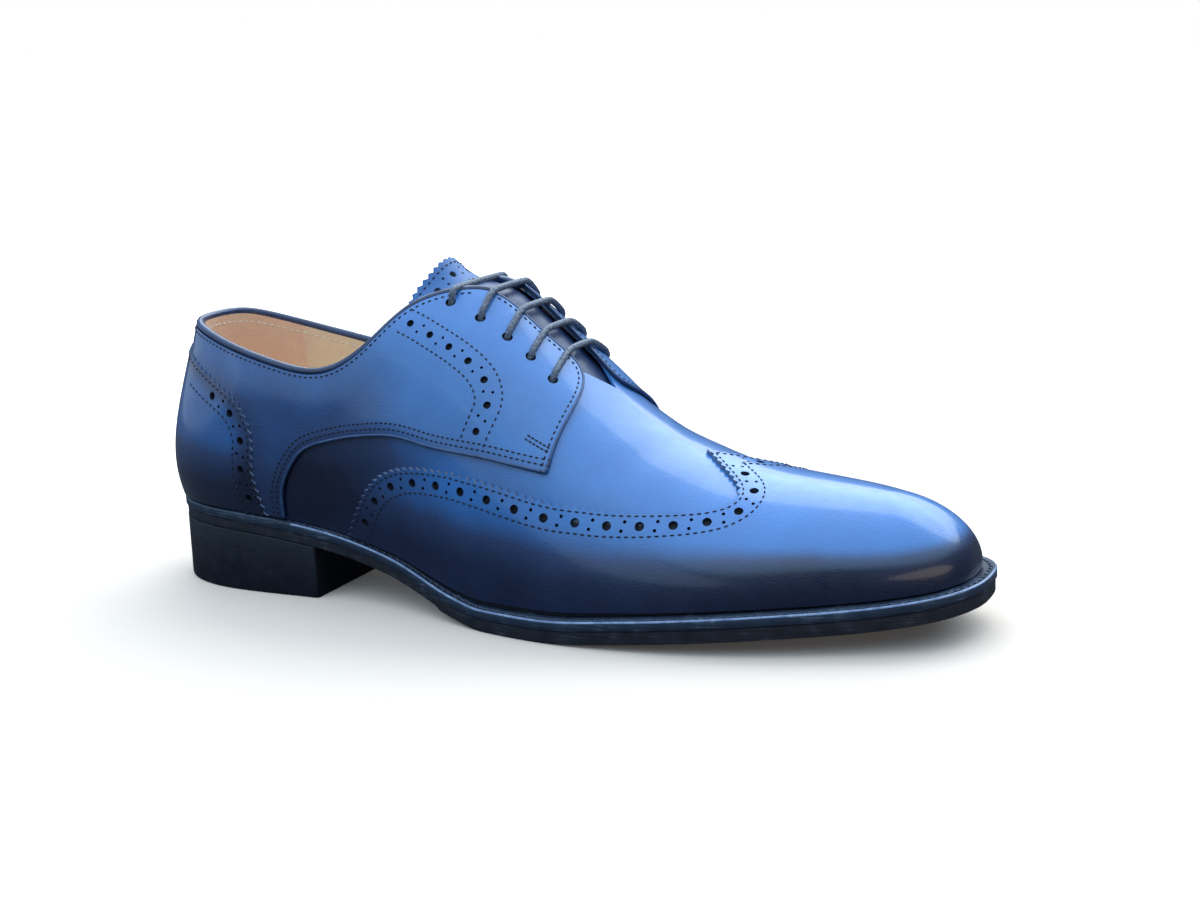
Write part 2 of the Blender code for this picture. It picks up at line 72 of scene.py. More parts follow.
# %% Camera
MM = 0.001
MIDDLE = np.array([149.93, -0.65, 0.0])
EYE = (434.1, -509.7, 186.0)
TURN, DIP, ROLL = np.radians([27.4, 13.27, -3.48])
LENS = 52.95


def world(points):
    """Millimetres on the shoe to metres in the frame."""
    return (np.asarray(points, float) - MIDDLE) * MM


def make_camera():
    """Camera at the eye, turned towards the shoe, dipped and rolled."""
    ahead = Vector((-np.sin(TURN) * np.cos(DIP), np.cos(TURN) * np.cos(DIP), -np.sin(DIP)))
    right = Vector((np.cos(TURN), np.sin(TURN), 0))
    top = right.cross(ahead)
    right, top = right * np.cos(ROLL) + top * np.sin(ROLL), top * np.cos(ROLL) - right * np.sin(ROLL)
    camera = bpy.data.objects.new("camera", bpy.data.cameras.new("camera"))
    camera.data.lens = LENS
    camera.matrix_world = Matrix.Translation(world(EYE)) @ Matrix((right, top, -ahead)).transposed().to_4x4()
    bpy.context.scene.collection.objects.link(camera)
    bpy.context.scene.camera = camera
    return camera


print("camera at", make_camera().location[:])

# %% [markdown]
# ## The last
# A shoe is built over a last, a wooden form of the foot. Here the last is a function of two shares:
# "along" runs from the heel (0) to the toe (1) and "up" from the welt (0) to the top line (1). The tables
# are the ones that the solids were made from, so leather laid on this function fits them.

# %% Tables of the last
LATERAL, MEDIAL = -1, 1
BOTH = (LATERAL, MEDIAL)
SIDE_NAME = {LATERAL: "lateral", MEDIAL: "medial"}
OUTSOLE_THICK, SOLE_EDGE, GAP = 4.4, 7.8, 0.3
TOE_POLE, THROAT_END, NEAR_TOP = 0.90, 0.605, 0.995
TOE_TILT = np.tan(np.radians(9.5))


def table(columns, *rows):
    """Name the columns of a short table."""
    return dict(zip(columns.split(), np.array(rows, float).T))


OUTLINE = table(
    "x lateral medial",
    (0, 0, 0), (2.5, 12, 12), (9, 21.5, 21), (20, 28.5, 28), (38, 32.5, 31.5), (72, 33, 30.5),
    (110, 37, 28.5), (140, 46, 34), (170, 51.5, 45), (195, 52, 50), (220, 49.5, 50.5),
    (245, 43.5, 45), (268, 35.5, 35.5), (284, 28.5, 27), (294.5, 21, 19.5), (299.5, 13.5, 12.5),
    (301.5, 7.5, 7), (302, 0, 0))
UNDERSIDE = table(
    "x z",
    (-5, 22.8), (0, 22.6), (40, 21), (75, 17.2), (105, 10.9), (135, 2), (148, 0), (168, 0),
    (200, 2.4), (220, 4.1), (240, 5.6), (270, 7.6), (303, 11.3), (310, 12.2))
FEATHER = table("along inset", (0, 2), (0.2, 2.2), (0.4, 3.2), (0.55, 5), (0.7, 5.6), (1, 5.8))
TOP_LINE = table(
    "along x lateral medial z_lateral z_medial",
    (0.00, 14, 0, 0, 93.2, 93.2), (0.05, 17, 12, 11.5, 93, 92.8), (0.10, 25, 20, 19, 91.3, 90.2),
    (0.16, 41, 26.5, 25.5, 87, 85), (0.23, 62, 30, 28, 82, 80), (0.295, 82, 30.5, 28.5, 80.2, 78.5),
    (0.355, 100, 28, 26.5, 89.5, 88.8), (0.40, 113, 21, 20.5, 101, 101),
    (0.44, 126, 13.5, 13.5, 105.2, 105.2), (0.475, 137, 8.5, 8.5, 104.2, 104.2),
    (0.53, 153, 6, 6, 92.5, 92.5), (0.58, 169, 3, 3, 79, 79),
    (0.605, 177.3, 0, 0, 71.8, 71.8), (0.63, 186, 0, 0, 65, 65), (0.68, 205, 0, 0, 54.5, 54.5),
    (0.73, 225, 0, 0, 47.6, 47.6), (0.78, 245, 0, 0, 44.6, 44.6), (0.83, 262, 0, 0, 42.6, 42.6),
    (0.87, 268, 0, 0, 41.8, 41.8), (0.90, 270, 0, 0, 41.5, 41.5))
RIDGE = table("x y", (0, 0), (80, 0), (135, 2), (170, 1), (205, -2.5), (235, -2.5), (270, -1), (303, 0))
SECTION = table(
    "along lean_lateral lean_medial low high drop turn",
    (0.00, 72, 72, 0.32, 0.36, 76, 180), (0.06, 72, 72, 0.32, 0.36, 76, 140),
    (0.12, 75, 75, 0.32, 0.36, 76, 112), (0.20, 80, 80, 0.32, 0.36, 74, 95),
    (0.30, 84, 86, 0.32, 0.36, 70, 90), (0.40, 86, 88, 0.34, 0.36, 46, 90),
    (0.475, 86, 88, 0.34, 0.38, 26, 90), (0.58, 86, 88, 0.34, 0.40, 13, 90),
    (0.68, 85, 86, 0.34, 0.41, 1, 90), (0.78, 84, 84, 0.34, 0.42, 0, 90),
    (0.90, 82, 82, 0.36, 0.42, 2, 80), (1.00, 82, 82, 0.36, 0.36, 10, 0))
print("the sole is", OUTLINE["x"][-1], "mm long")

# %% [markdown]
# Two ways of drawing a smooth line through a table are needed. `spline` bends freely, for soft forms, and
# `steady` never overshoots, so that flat rows stay flat. `column` mirrors a column past the heel and the
# toe, which lets the lateral and the medial half join without a crease. The last helpers measure a run of
# points and draw it more finely.

# %% Smooth lines


def spline(knots, values, at):
    """Natural cubic through a column."""
    step = np.diff(knots)
    slope = np.diff(values) / step
    system = np.eye(len(knots))
    bend = np.zeros(len(knots))
    for i in range(1, len(knots) - 1):
        system[i, i - 1:i + 2] = step[i - 1], 2 * (step[i - 1] + step[i]), step[i]
        bend[i] = 6 * (slope[i] - slope[i - 1])
    bend = np.linalg.solve(system, bend)
    k = np.clip(np.searchsorted(knots, at) - 1, 0, len(knots) - 2)
    left, right, h = knots[k + 1] - at, at - knots[k], step[k]
    cubic = (bend[k] * left ** 3 + bend[k + 1] * right ** 3) / (6 * h)
    line = (values[k] / h - bend[k] * h / 6) * left + (values[k + 1] / h - bend[k + 1] * h / 6) * right
    return cubic + line


def steady(knots, values, at):
    """Cubic through a column that never overshoots."""
    step = np.diff(knots)
    slope = np.diff(values) / step
    lean = np.zeros(len(knots))
    lean[0], lean[-1] = slope[0], slope[-1]
    for i in range(1, len(knots) - 1):
        if slope[i - 1] * slope[i] > 0:
            before, after = 2 * step[i] + step[i - 1], step[i] + 2 * step[i - 1]
            lean[i] = (before + after) / (before / slope[i - 1] + after / slope[i])
    k = np.clip(np.searchsorted(knots, at) - 1, 0, len(knots) - 2)
    h = step[k]
    t = (at - knots[k]) / h
    ends = (1 + 2 * t) * (1 - t) ** 2 * values[k] + t * t * (3 - 2 * t) * values[k + 1]
    return ends + h * t * (1 - t) * ((1 - t) * lean[k] - t * lean[k + 1])


def column(rows, name, along, odd=False, past_toe=True):
    """Spline of a column, mirrored past the heel and the toe."""
    knots, values = rows["along"], rows[name]
    sign = -1 if odd else 1
    before, after = slice(3, 0, -1), slice(-2, -5, -1)
    ends = [(-knots[before], sign * values[before]), (knots, values)]
    if past_toe:
        ends.append((2 * knots[-1] - knots[after], sign * values[after]))
    return spline(np.concatenate([e[0] for e in ends]), np.concatenate([e[1] for e in ends]), along)


def smoothstep(low, high, value):
    """Soft step from 0 at low to 1 at high."""
    t = np.clip((value - low) / (high - low), 0, 1)
    return t * t * (3 - 2 * t)


def unit(ways):
    """Rows of vectors, each scaled to length 1."""
    return ways / np.linalg.norm(ways, axis=-1, keepdims=True)


def run_lengths(points, power=1.0):
    """Length along a run of points up to each of them. A power below 1 evens out uneven steps."""
    steps = np.linalg.norm(np.diff(points, axis=0), axis=1)
    return np.concatenate([[0], np.cumsum(steps ** power)])


def points_at(spots, lengths, points):
    """Points of a run at given lengths along it."""
    return np.stack([np.interp(spots, lengths, values) for values in points.T], -1)


def smooth_run(points, count, trim=0):
    """Smooth curve of a count of points through a run, leaving out a trim of its points at both ends."""
    chord = run_lengths(points, 0.5)
    fine = np.linspace(chord[trim], chord[-1 - trim], count)
    return np.column_stack([spline(chord, values, fine) for values in points.T])


print("inset of the upper at the toe:", column(FEATHER, "inset", np.array([1.0])).round(1), "mm")

# %% [markdown]
# The outline of the sole is a closed curve through the table's points. It is split at the heel and the toe,
# and each half knows the way out from every point, which later moves seams and profiles in from the edge.

# %% Outline of the sole
OUTLINE_POINTS, OVERLAP = 4001, 4


def outline_halves():
    """Dense points, outward normals and shares of length of both sides of the sole."""
    lateral = np.column_stack([OUTLINE["x"], -OUTLINE["lateral"]])
    medial = np.column_stack([OUTLINE["x"], OUTLINE["medial"]])
    loop = np.vstack([lateral, medial[-2:0:-1]])
    around = np.vstack([loop[-OVERLAP:], loop, loop[:OVERLAP + 1]])
    points = smooth_run(around, OUTLINE_POINTS, OVERLAP)
    forward = np.roll(points[:-1], -1, axis=0) - np.roll(points[:-1], 1, axis=0)
    forward = np.vstack([forward, forward[:1]])
    normals = unit(np.column_stack([forward[:, 1], -forward[:, 0]]))
    toe = int(np.argmax(points[:, 0]))
    halves = {}
    for side, part in ((LATERAL, slice(None, toe + 1)), (MEDIAL, slice(None, toe - 1, -1))):
        length = run_lengths(points[part])
        halves[side] = points[part], normals[part], length / length[-1]
    return halves


HALVES = outline_halves()


def outline(side, along):
    """Point and outward normal of the sole's edge."""
    points, normals, share = HALVES[side]
    return points_at(along, share, points), unit(points_at(along, share, normals))


def underside(x):
    """Height of the sole's underside above the floor."""
    return steady(UNDERSIDE["x"], UNDERSIDE["z"], x)


print("edge of the sole halfway:", *(outline(side, 0.5)[0].round(1) for side in BOTH))

# %% [markdown]
# A section of the last is one cubic from the feather line, where the upper meets the welt, to the top line.
# Creases are soft troughs given in a table: each row gives a middle, a length and a width in millimetres,
# a turn on the flat pattern and a depth. They sink inwards and down.

# %% Surface of the last
EDGE_LENGTH, SECTION_LENGTH = 340.0, 90.0
CREASE = table(
    "along up length width turn depth",
    (0.375, 0.73, 34, 15, -28, 0.9),
    (0.300, 0.70, 26, 12, 8, 0.5),
    (0.662, 0.80, 26, 5, 68, 0.30),
    (0.640, 0.72, 22, 4, 62, 0.22))
CREASE_IN, CREASE_DOWN = 0.8, 0.6
PROBE = 0.5


def feather(side, along):
    """Foot of the upper on the welt, and the way out from it."""
    edge, normal = outline(side, along)
    foot = edge - normal * column(FEATHER, "inset", along)[..., None]
    z = underside(foot[..., 0]) + SOLE_EDGE + GAP
    return np.concatenate([foot, z[..., None]], -1), normal


def top_line(side, along):
    """Rim of the collar and the throat, then the ridge of the vamp."""
    along = np.minimum(along, TOE_POLE)
    name = SIDE_NAME[side]
    x = column(TOP_LINE, "x", along, past_toe=False)
    half = column(TOP_LINE, name, along, odd=True, past_toe=False)
    half = np.where(along < THROAT_END, np.maximum(half, 0), 0)
    z = column(TOP_LINE, "z_" + name, along, past_toe=False)
    return np.stack([x, side * half + steady(RIDGE["x"], RIDGE["y"], x), z], -1)


def crease_depth(along, up):
    """How far the creases sink the leather."""
    depth = np.zeros(np.shape(along))
    for a, u, length, width, turn, deep in zip(*CREASE.values()):
        x, y = (along - a) * EDGE_LENGTH, (up - u) * SECTION_LENGTH
        c, s = np.cos(np.radians(turn)), np.sin(np.radians(turn))
        depth += deep * np.exp(-((x * c + y * s) / length) ** 2 - ((y * c - x * s) / width) ** 2)
    return depth


def last(side, along, up):
    """Point of the last: a cubic from the welt to the top line, sunk by the creases."""
    along, up = np.broadcast_arrays(np.asarray(along, float), np.asarray(up, float))
    foot, out = feather(side, along)
    head = top_line(side, along)
    lean = np.radians(column(SECTION, "lean_" + SIDE_NAME[side], along))
    turn = np.radians(steady(SECTION["along"], SECTION["turn"], along))
    drop = np.radians(steady(SECTION["along"], SECTION["drop"], along))
    drop = np.where(along < TOE_POLE, drop, np.arctan(TOE_TILT * np.cos(turn)))
    span = np.linalg.norm(head - foot, axis=-1)
    rise = np.stack([out[..., 0] * np.cos(lean), out[..., 1] * np.cos(lean), np.sin(lean)], -1)
    fall = np.stack([np.cos(turn) * np.cos(drop), side * np.sin(turn) * np.cos(drop), -np.sin(drop)], -1)
    low = foot + (column(SECTION, "low", along) * span)[..., None] * rise
    high = head + (column(SECTION, "high", along) * span)[..., None] * fall
    t = up[..., None]
    point = (1 - t) ** 3 * foot + 3 * t * (1 - t) ** 2 * low + 3 * t * t * (1 - t) * high + t ** 3 * head
    return point - crease_depth(along, up)[..., None] * np.array([0.0, side * CREASE_IN, CREASE_DOWN])


def last_surface(side):
    """Surface of one side of the last, from points on the flat pattern."""
    def surface(flat):
        return last(side, flat[:, 0] / EDGE_LENGTH, flat[:, 1] / SECTION_LENGTH)
    return surface


SURFACE = {side: last_surface(side) for side in BOTH}
LIMIT = {side: np.array([EDGE_LENGTH, SECTION_LENGTH]) for side in BOTH}
OUTWARD = {LATERAL: 1, MEDIAL: -1}


def tangents(side, flat):
    """Changes of place for a millimetre across and up the flat pattern, and the outward normal."""
    limit = LIMIT[side] * (1, NEAR_TOP)
    flat = np.clip(np.atleast_2d(flat), 0, limit)
    slopes = []
    for axis in (0, 1):
        move = np.zeros(2)
        move[axis] = PROBE
        after, before = np.clip(flat + move, 0, limit), np.clip(flat - move, 0, limit)
        change = SURFACE[side](after) - SURFACE[side](before)
        slopes.append(change / (after - before)[:, axis, None])
    return slopes[0], slopes[1], unit(np.cross(slopes[0], slopes[1]) * OUTWARD[side])


def laid(side, flat, lift=0.0):
    """Places on a surface, or a lift above it, of points on its flat pattern."""
    flat = np.atleast_2d(flat)
    return SURFACE[side](flat) + np.reshape(lift, (-1, 1)) * tangents(side, flat)[2]


print("toe of the last:", last(LATERAL, 1.0, 0.5).round(1))

# %% [markdown]
# ## Cutting on the flat pattern
# A clicker cuts panels flat, then the maker pulls them over the last. The same happens here: seams, teeth
# and holes are laid out on a flat pattern. The pattern is stretched where the last curves, so `shift` and
# `ring` measure on the last itself. That keeps the holes round and the stitch rows evenly spaced.

# %% Seams and holes
CORNER_KEEP = 0.96
BIG_SIDES, SMALL_SIDES = 14, 8
PAIR_APART, PAIR_SLANT = 1.45, 0.45


def seam_curve(seam, side, count=500):
    """Dense flat points along a seam's table. A seam may also be such points already."""
    if not isinstance(seam, dict):
        return seam
    share = seam["medial"] if side == MEDIAL and "medial" in seam else seam["along"]
    return smooth_run(np.column_stack([share * EDGE_LENGTH, seam["up"] * SECTION_LENGTH]), count)


def flat_step(side, flat, move):
    """Step on the flat pattern that makes a move on the last."""
    x, y, _ = tangents(side, flat)
    xx, xy, yy = (x * x).sum(1), (x * y).sum(1), (y * y).sum(1)
    mx, my = (x * move).sum(1), (y * move).sum(1)
    scale = xx * yy - xy * xy
    return np.column_stack([yy * mx - xy * my, xx * my - xy * mx]) / scale[:, None]


def headings(side, flat):
    """Unit tangent of a run of flat points on the last, the way to its left, and the normal."""
    ahead = unit(np.gradient(laid(side, flat), axis=0))
    normal = tangents(side, flat)[2]
    return ahead, np.cross(normal, ahead) * OUTWARD[side], normal


def shift(side, flat, left):
    """Move a run of flat points to its left by millimetres on the last."""
    way = headings(side, flat)[1]
    return np.clip(flat + flat_step(side, flat, way * np.reshape(left, (-1, 1))), 0, LIMIT[side])


def walk(side, seam, pitch, left=0.0, start=0.0, end=0.0):
    """Flat points at an even pitch along a seam, or along a line beside it without its tight corners."""
    dense = seam_curve(seam, side)
    run = shift(side, dense, left) if left else dense
    if left:
        edge, moved = laid(side, dense), laid(side, run)
        apart = np.linalg.norm(edge[None] - moved[:, None], axis=2).min(axis=1)
        run = run[apart > CORNER_KEEP * abs(left)]
    length = run_lengths(laid(side, run))
    count = max(2, int(round((length[-1] - start - end) / pitch)) + 1)
    return points_at(np.linspace(start, length[-1] - end, count), length, run)


def pinked(side, seam, pitch, depth):
    """Zigzag along a seam, with teeth that are cut to its left (or right, for a negative depth)."""
    run = walk(side, seam, pitch / 2)
    inner = np.arange(len(run)) % 2
    inner[-1] = inner[0] = 0
    return shift(side, run, depth * inner)


def ring(side, centre, radius, count):
    """Round hole on the last, as a loop on the flat pattern."""
    x, _, normal = tangents(side, centre)
    across = x / np.linalg.norm(x)
    other = np.cross(normal, across)
    angle = np.linspace(0, 2 * np.pi, count, endpoint=False)[:, None]
    move = radius * (np.cos(angle) * across + np.sin(angle) * other)
    return centre + flat_step(side, np.repeat(np.atleast_2d(centre), count, 0), move)


def brogue_holes(side, seam, middle, pitch, big, small, start, end):
    """Large holes along a band with a slanted pair of small ones between each two."""
    spots = walk(side, seam, pitch / 2, middle, start, end)
    loops = [ring(side, spot, big, BIG_SIDES) for spot in spots[::2]]
    ahead, left, _ = headings(side, spots)
    for k in range(1, len(spots), 2):
        for sign in (-1, 1):
            move = sign * (PAIR_APART * left[k] + PAIR_SLANT * ahead[k])
            spot = spots[k] + flat_step(side, spots[k], move[None])[0]
            loops.append(ring(side, spot, small, SMALL_SIDES))
    return loops


middle = np.array([EDGE_LENGTH, SECTION_LENGTH]) / 2
print("1 mm on the last is", np.ptp(ring(LATERAL, middle, 0.5, 16), axis=0).round(2), "on the flat pattern")

# %% [markdown]
# `cut_flat` fills the outline with triangles around the holes, then slices the sheet into narrow strips so
# that it can bend. `lay` moves every point of the sheet onto the last. `thicken` extrudes the laid sheet
# into a solid panel, keeping the direction of the last's surface as the shading normal of its face.

# %% Flat sheets
STRIP, CUT_MERGE = 2.6, 1e-4


def mesh_from(name, bm):
    """Mesh of a bmesh, which is then freed."""
    mesh = bpy.data.meshes.new(name)
    bm.to_mesh(mesh)
    bm.free()
    return mesh


def slice_across(bm, way, cuts):
    """Slice all faces by planes across a way, at given places along it."""
    for cut in cuts:
        bmesh.ops.bisect_plane(bm, geom=bm.verts[:] + bm.edges[:] + bm.faces[:], dist=CUT_MERGE,
                               plane_co=Vector(way) * cut, plane_no=way)


def cut_flat(outline_points, holes=()):
    """Flat sheet inside an outline and around holes, sliced into strips both ways."""
    bm = bmesh.new()
    for loop in [outline_points, *holes]:
        verts = [bm.verts.new((x, y, 0)) for x, y in loop]
        for a, b in zip(verts, verts[1:] + verts[:1]):
            bm.edges.new((a, b))
    if holes:
        bmesh.ops.triangle_fill(bm, use_beauty=True, edges=bm.edges[:], normal=(0, 0, 1))
    else:
        bmesh.ops.edgeloop_fill(bm, edges=bm.edges[:])
    low, high = np.min(outline_points, axis=0), np.max(outline_points, axis=0)
    for axis, way in enumerate(((1, 0, 0), (0, 1, 0))):
        slice_across(bm, way, np.arange(np.ceil(low[axis] / STRIP) * STRIP, high[axis], STRIP))
    bmesh.ops.triangulate(bm, faces=bm.faces[:])
    return bm


def lay(bm, side, mapping, shade):
    """Move a flat sheet onto a surface and note its normals and its tone, burnish with painted light and
    shade.
    """
    flat = np.array([v.co[:2] for v in bm.verts])
    places, normals = mapping(side, flat)
    facing = bm.verts.layers.float_vector.new("facing")
    # The stored tone holds burnish together with painted shade and painted light; on the lining it picks a
    # tan.
    tone_and_shade = bm.verts.layers.float.new("tone_and_shade")
    for vert, place, normal, dark in zip(bm.verts, world(places), normals, shade(side, flat)):
        vert.co = place
        vert[facing] = normal
        vert[tone_and_shade] = dark
    if side == MEDIAL:
        bmesh.ops.reverse_faces(bm, faces=bm.faces[:])
    return mesh_from("laid", bm)


def lifted(lift):
    """Mapping of a flat pattern onto its surface, a lift above it."""
    def mapping(side, flat):
        normals = tangents(side, flat)[2]
        return SURFACE[side](flat) + lift * normals, normals
    return mapping


square = cut_flat([(0, 0), (10, 0), (10, 10), (0, 10)])
print("a square of 10 mm is cut into", len(square.faces), "triangles")
square.free()

# %% [markdown]
# A panel has a face, a back and a wall all round. The walls of its outline and of its holes get finishes of
# their own: cut leather is paler than its dyed face, a paleness that also serves as a painted highlight, and
# the wall in a hole is painted dark as its shade.

# %% Panels
MERGE = 0.00003
BACK, FACE, WALL = 0, 1, 2
HOLE_FACES = 40


def thicken(bm, thickness):
    """Solid panel from a laid sheet, with its back, face and wall marked."""
    facing = bm.verts.layers.float_vector["facing"]
    zone = bm.faces.layers.int.new("zone")
    backs = set(bm.faces)
    made = bmesh.ops.extrude_face_region(bm, geom=bm.faces[:], use_keep_orig=True)["geom"]
    for item in made:
        if isinstance(item, bmesh.types.BMVert):
            item.co += Vector(item[facing]) * (thickness * MM)
    faces = {item for item in made if isinstance(item, bmesh.types.BMFace)}
    for face in bm.faces:
        face[zone] = BACK if face in backs else FACE if face in faces else WALL
        face.smooth = True
    bmesh.ops.recalc_face_normals(bm, faces=bm.faces[:])
    return zone


def shade_by_surface(mesh):
    """Use the surface's own normals on the panel's face and back, and flat ones on its cut wall."""
    zones = np.zeros(len(mesh.polygons), int)
    mesh.attributes["zone"].data.foreach_get("value", zones)
    facing = np.zeros(len(mesh.vertices) * 3)
    mesh.attributes["facing"].data.foreach_get("vector", facing)
    facing = facing.reshape(-1, 3)
    flat = np.array([p.normal for p in mesh.polygons])
    totals = np.array([p.loop_total for p in mesh.polygons])
    loop_zone = np.repeat(zones, totals)
    corner = np.zeros(len(mesh.loops), int)
    mesh.loops.foreach_get("vertex_index", corner)
    normals = np.where((loop_zone == WALL)[:, None], np.repeat(flat, totals, axis=0), facing[corner])
    normals[loop_zone == BACK] *= -1
    mesh.normals_split_custom_set(normals)


def add_piece(name, mesh, finishes, nodes=()):
    """Put a finished mesh in the scene, riding on the shoe and standing for its solids."""
    piece = bpy.data.objects.new(name, mesh)
    bpy.context.scene.collection.objects.link(piece)
    for look in finishes:
        mesh.materials.append(look)
    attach(piece, "root")
    if nodes:
        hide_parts(*nodes)
    return piece


def finish_walls(bm, zone, count):
    """Second finish for an outline's wall and third for the short wall in a hole, or the last there is."""
    walls = {face for face in bm.faces if face[zone] == WALL}
    while walls:
        joined = [walls.pop()]
        for face in joined:
            near = {other for edge in face.edges for other in edge.link_faces} & walls
            walls -= near
            joined += near
        for face in joined:
            face.material_index = min(count - 1, 2 if len(joined) < HOLE_FACES else 1)


def leather(name, sheets, mapping, thickness, shade, finishes, nodes=()):
    """Panel from flat sheets of one or both sides, with finishes for its face, cut edge and holes."""
    bm = bmesh.new()
    for side, sheet in sheets:
        bm.from_mesh(lay(sheet, side, mapping, shade))
    bmesh.ops.remove_doubles(bm, verts=bm.verts[:], dist=MERGE)
    bmesh.ops.dissolve_degenerate(bm, edges=bm.edges[:], dist=MERGE / 3)
    zone = thicken(bm, thickness)
    finish_walls(bm, zone, len(finishes))
    mesh = mesh_from(name, bm)
    shade_by_surface(mesh)
    piece = add_piece(name, mesh, finishes, nodes)
    print(name, "has", len(mesh.polygons), "faces")
    return piece


print("walls of fewer than", HOLE_FACES, "faces count as holes")

# %% [markdown]
# ## Finishes
# The calf is dyed blue, then rubbed with dark wax at the edges and near the welt. That burnish is stored on
# the points of each panel together with painted shade and painted light: darker in hollows, under the lace,
# near seams and on the low sides where less light falls, lighter on the faces turned to the light. So one
# leather goes from bright blue to navy. Soft clouds break up the colour, a fine grain is raised by bump, and
# a thin coat gives the polish its second, sharper shine.

# %% Leather and thread
BRIGHT_BLUE, DEEP_BLUE, NAVY = (0.042, 0.230, 0.64), (0.030, 0.066, 0.18), (0.004, 0.010, 0.040)
NOISE_LOW, NOISE_HIGH = 0.3, 0.7


def finish(name, sockets):
    """Principled finish with its constant values on the shader's own sockets."""
    material = bpy.data.materials.new(name)
    material.use_nodes = True
    shader = material.node_tree.nodes["Principled BSDF"]
    for socket, value in sockets.items():
        shader.inputs[socket].default_value = value
    return material, shader


def node(material, kind, inputs=None, **settings):
    """New shader node. An input is a number or another node's output."""
    made = material.node_tree.nodes.new("ShaderNode" + kind)
    for name, value in settings.items():
        setattr(made, name, value)
    for socket, value in (inputs or {}).items():
        if isinstance(value, bpy.types.NodeSocket):
            material.node_tree.links.new(value, made.inputs[socket])
        else:
            made.inputs[socket].default_value = value
    return made


def ramp(material, share, *stops):
    """Colour from a share, through (position, colour) stops."""
    made = node(material, "ValToRGB", {"Fac": share})
    elements = made.color_ramp.elements
    for k, (position, colour) in enumerate(stops):
        element = elements[k] if k < len(elements) else elements.new(position)
        element.position = position
        element.color = (*colour, 1)
    return made.outputs["Color"]


def clouds(material, scale, detail, low=0.0, high=1.0):
    """Soft noise on the object's own coordinates, between two values."""
    place = node(material, "TexCoord").outputs["Object"]
    noise = node(material, "TexNoise", {"Vector": place, "Scale": scale, "Detail": detail}).outputs["Fac"]
    spread = {"Value": noise, "From Min": NOISE_LOW, "From Max": NOISE_HIGH, "To Min": low, "To Max": high}
    return node(material, "MapRange", spread).outputs["Result"]


def streaks(material, scale, detail):
    """Soft noise with its own scale along each of the object's axes."""
    place = node(material, "TexCoord").outputs["Object"]
    level = node(material, "Mapping", {"Vector": place, "Scale": scale}).outputs["Vector"]
    return node(material, "TexNoise", {"Vector": level, "Scale": 1.0, "Detail": detail}).outputs["Fac"]


def combined(material, operation, first, second):
    """Sum or product of two values."""
    return node(material, "Math", {0: first, 1: second}, operation=operation).outputs["Value"]


def tone_and_shade_share(material, uneven):
    """The tone that a panel's points hold, burnish with painted shade and light, broken up by clouds."""
    stored = node(material, "Attribute", attribute_name="tone_and_shade").outputs["Fac"]
    return combined(material, "ADD", stored, uneven)


def dress(material, shader, colour, roughness, height, depth, strength):
    """Link colour, roughness and relief to a finish."""
    relief = node(material, "Bump", {"Height": height, "Distance": depth, "Strength": strength})
    links = material.node_tree.links
    links.new(colour, shader.inputs["Base Color"])
    links.new(roughness, shader.inputs["Roughness"])
    links.new(relief.outputs["Normal"], shader.inputs["Normal"])
    return material


def calf(name, shine=0.36, coat=0.9):
    """Calf from bright blue to navy by the panel's stored tone, burnish with painted shade and painted light.
    """
    material, shader = finish(name, {"Coat Weight": coat, "Coat Roughness": 0.13, "Specular IOR Level": 0.5})
    share = tone_and_shade_share(material, clouds(material, scale=60, detail=3, low=-0.05, high=0.05))
    # The ramp turns the stored burnish, painted shade and painted light into colour.
    colour = ramp(material, share, (0.0, BRIGHT_BLUE), (1.0, NAVY), (0.5, DEEP_BLUE))
    rough = clouds(material, scale=240, detail=2, low=shine - 0.05, high=shine + 0.09)
    wrinkles = streaks(material, scale=(260, 260, 1300), detail=2)
    grain = combined(material, "ADD", clouds(material, scale=1500, detail=2), wrinkles)
    return dress(material, shader, colour, rough, grain, depth=0.00012, strength=0.35)


def plain(name, dark, light, scale, shine, sockets=None, depth=0.0001, strength=0.5, grain=1500):
    """Finish of two near colours in soft clouds, with a fine relief."""
    material, shader = finish(name, sockets or {})
    colour = ramp(material, clouds(material, scale, detail=4), (0.0, dark), (1.0, light))
    rough = clouds(material, scale * 2, detail=2, low=shine - 0.06, high=shine + 0.08)
    return dress(material, shader, colour, rough, clouds(material, grain, detail=2), depth, strength)


CALF = calf("burnished_and_shaded_calf")
TONGUE_CALF = calf("tongue_calf", shine=0.42, coat=0.15)
# Pale cut edge: the raw leather's own paler colour, which also stands in as a painted highlight on the teeth.
CUT_EDGE = plain("cut_edge", (0.12, 0.17, 0.28), (0.25, 0.32, 0.44), 700, 0.6)
# Near-black wall inside a hole: painted shade.
HOLE_WALL_SHADE = plain("hole_wall_shade", (0.014, 0.022, 0.042), (0.04, 0.06, 0.10), 700, 0.6)
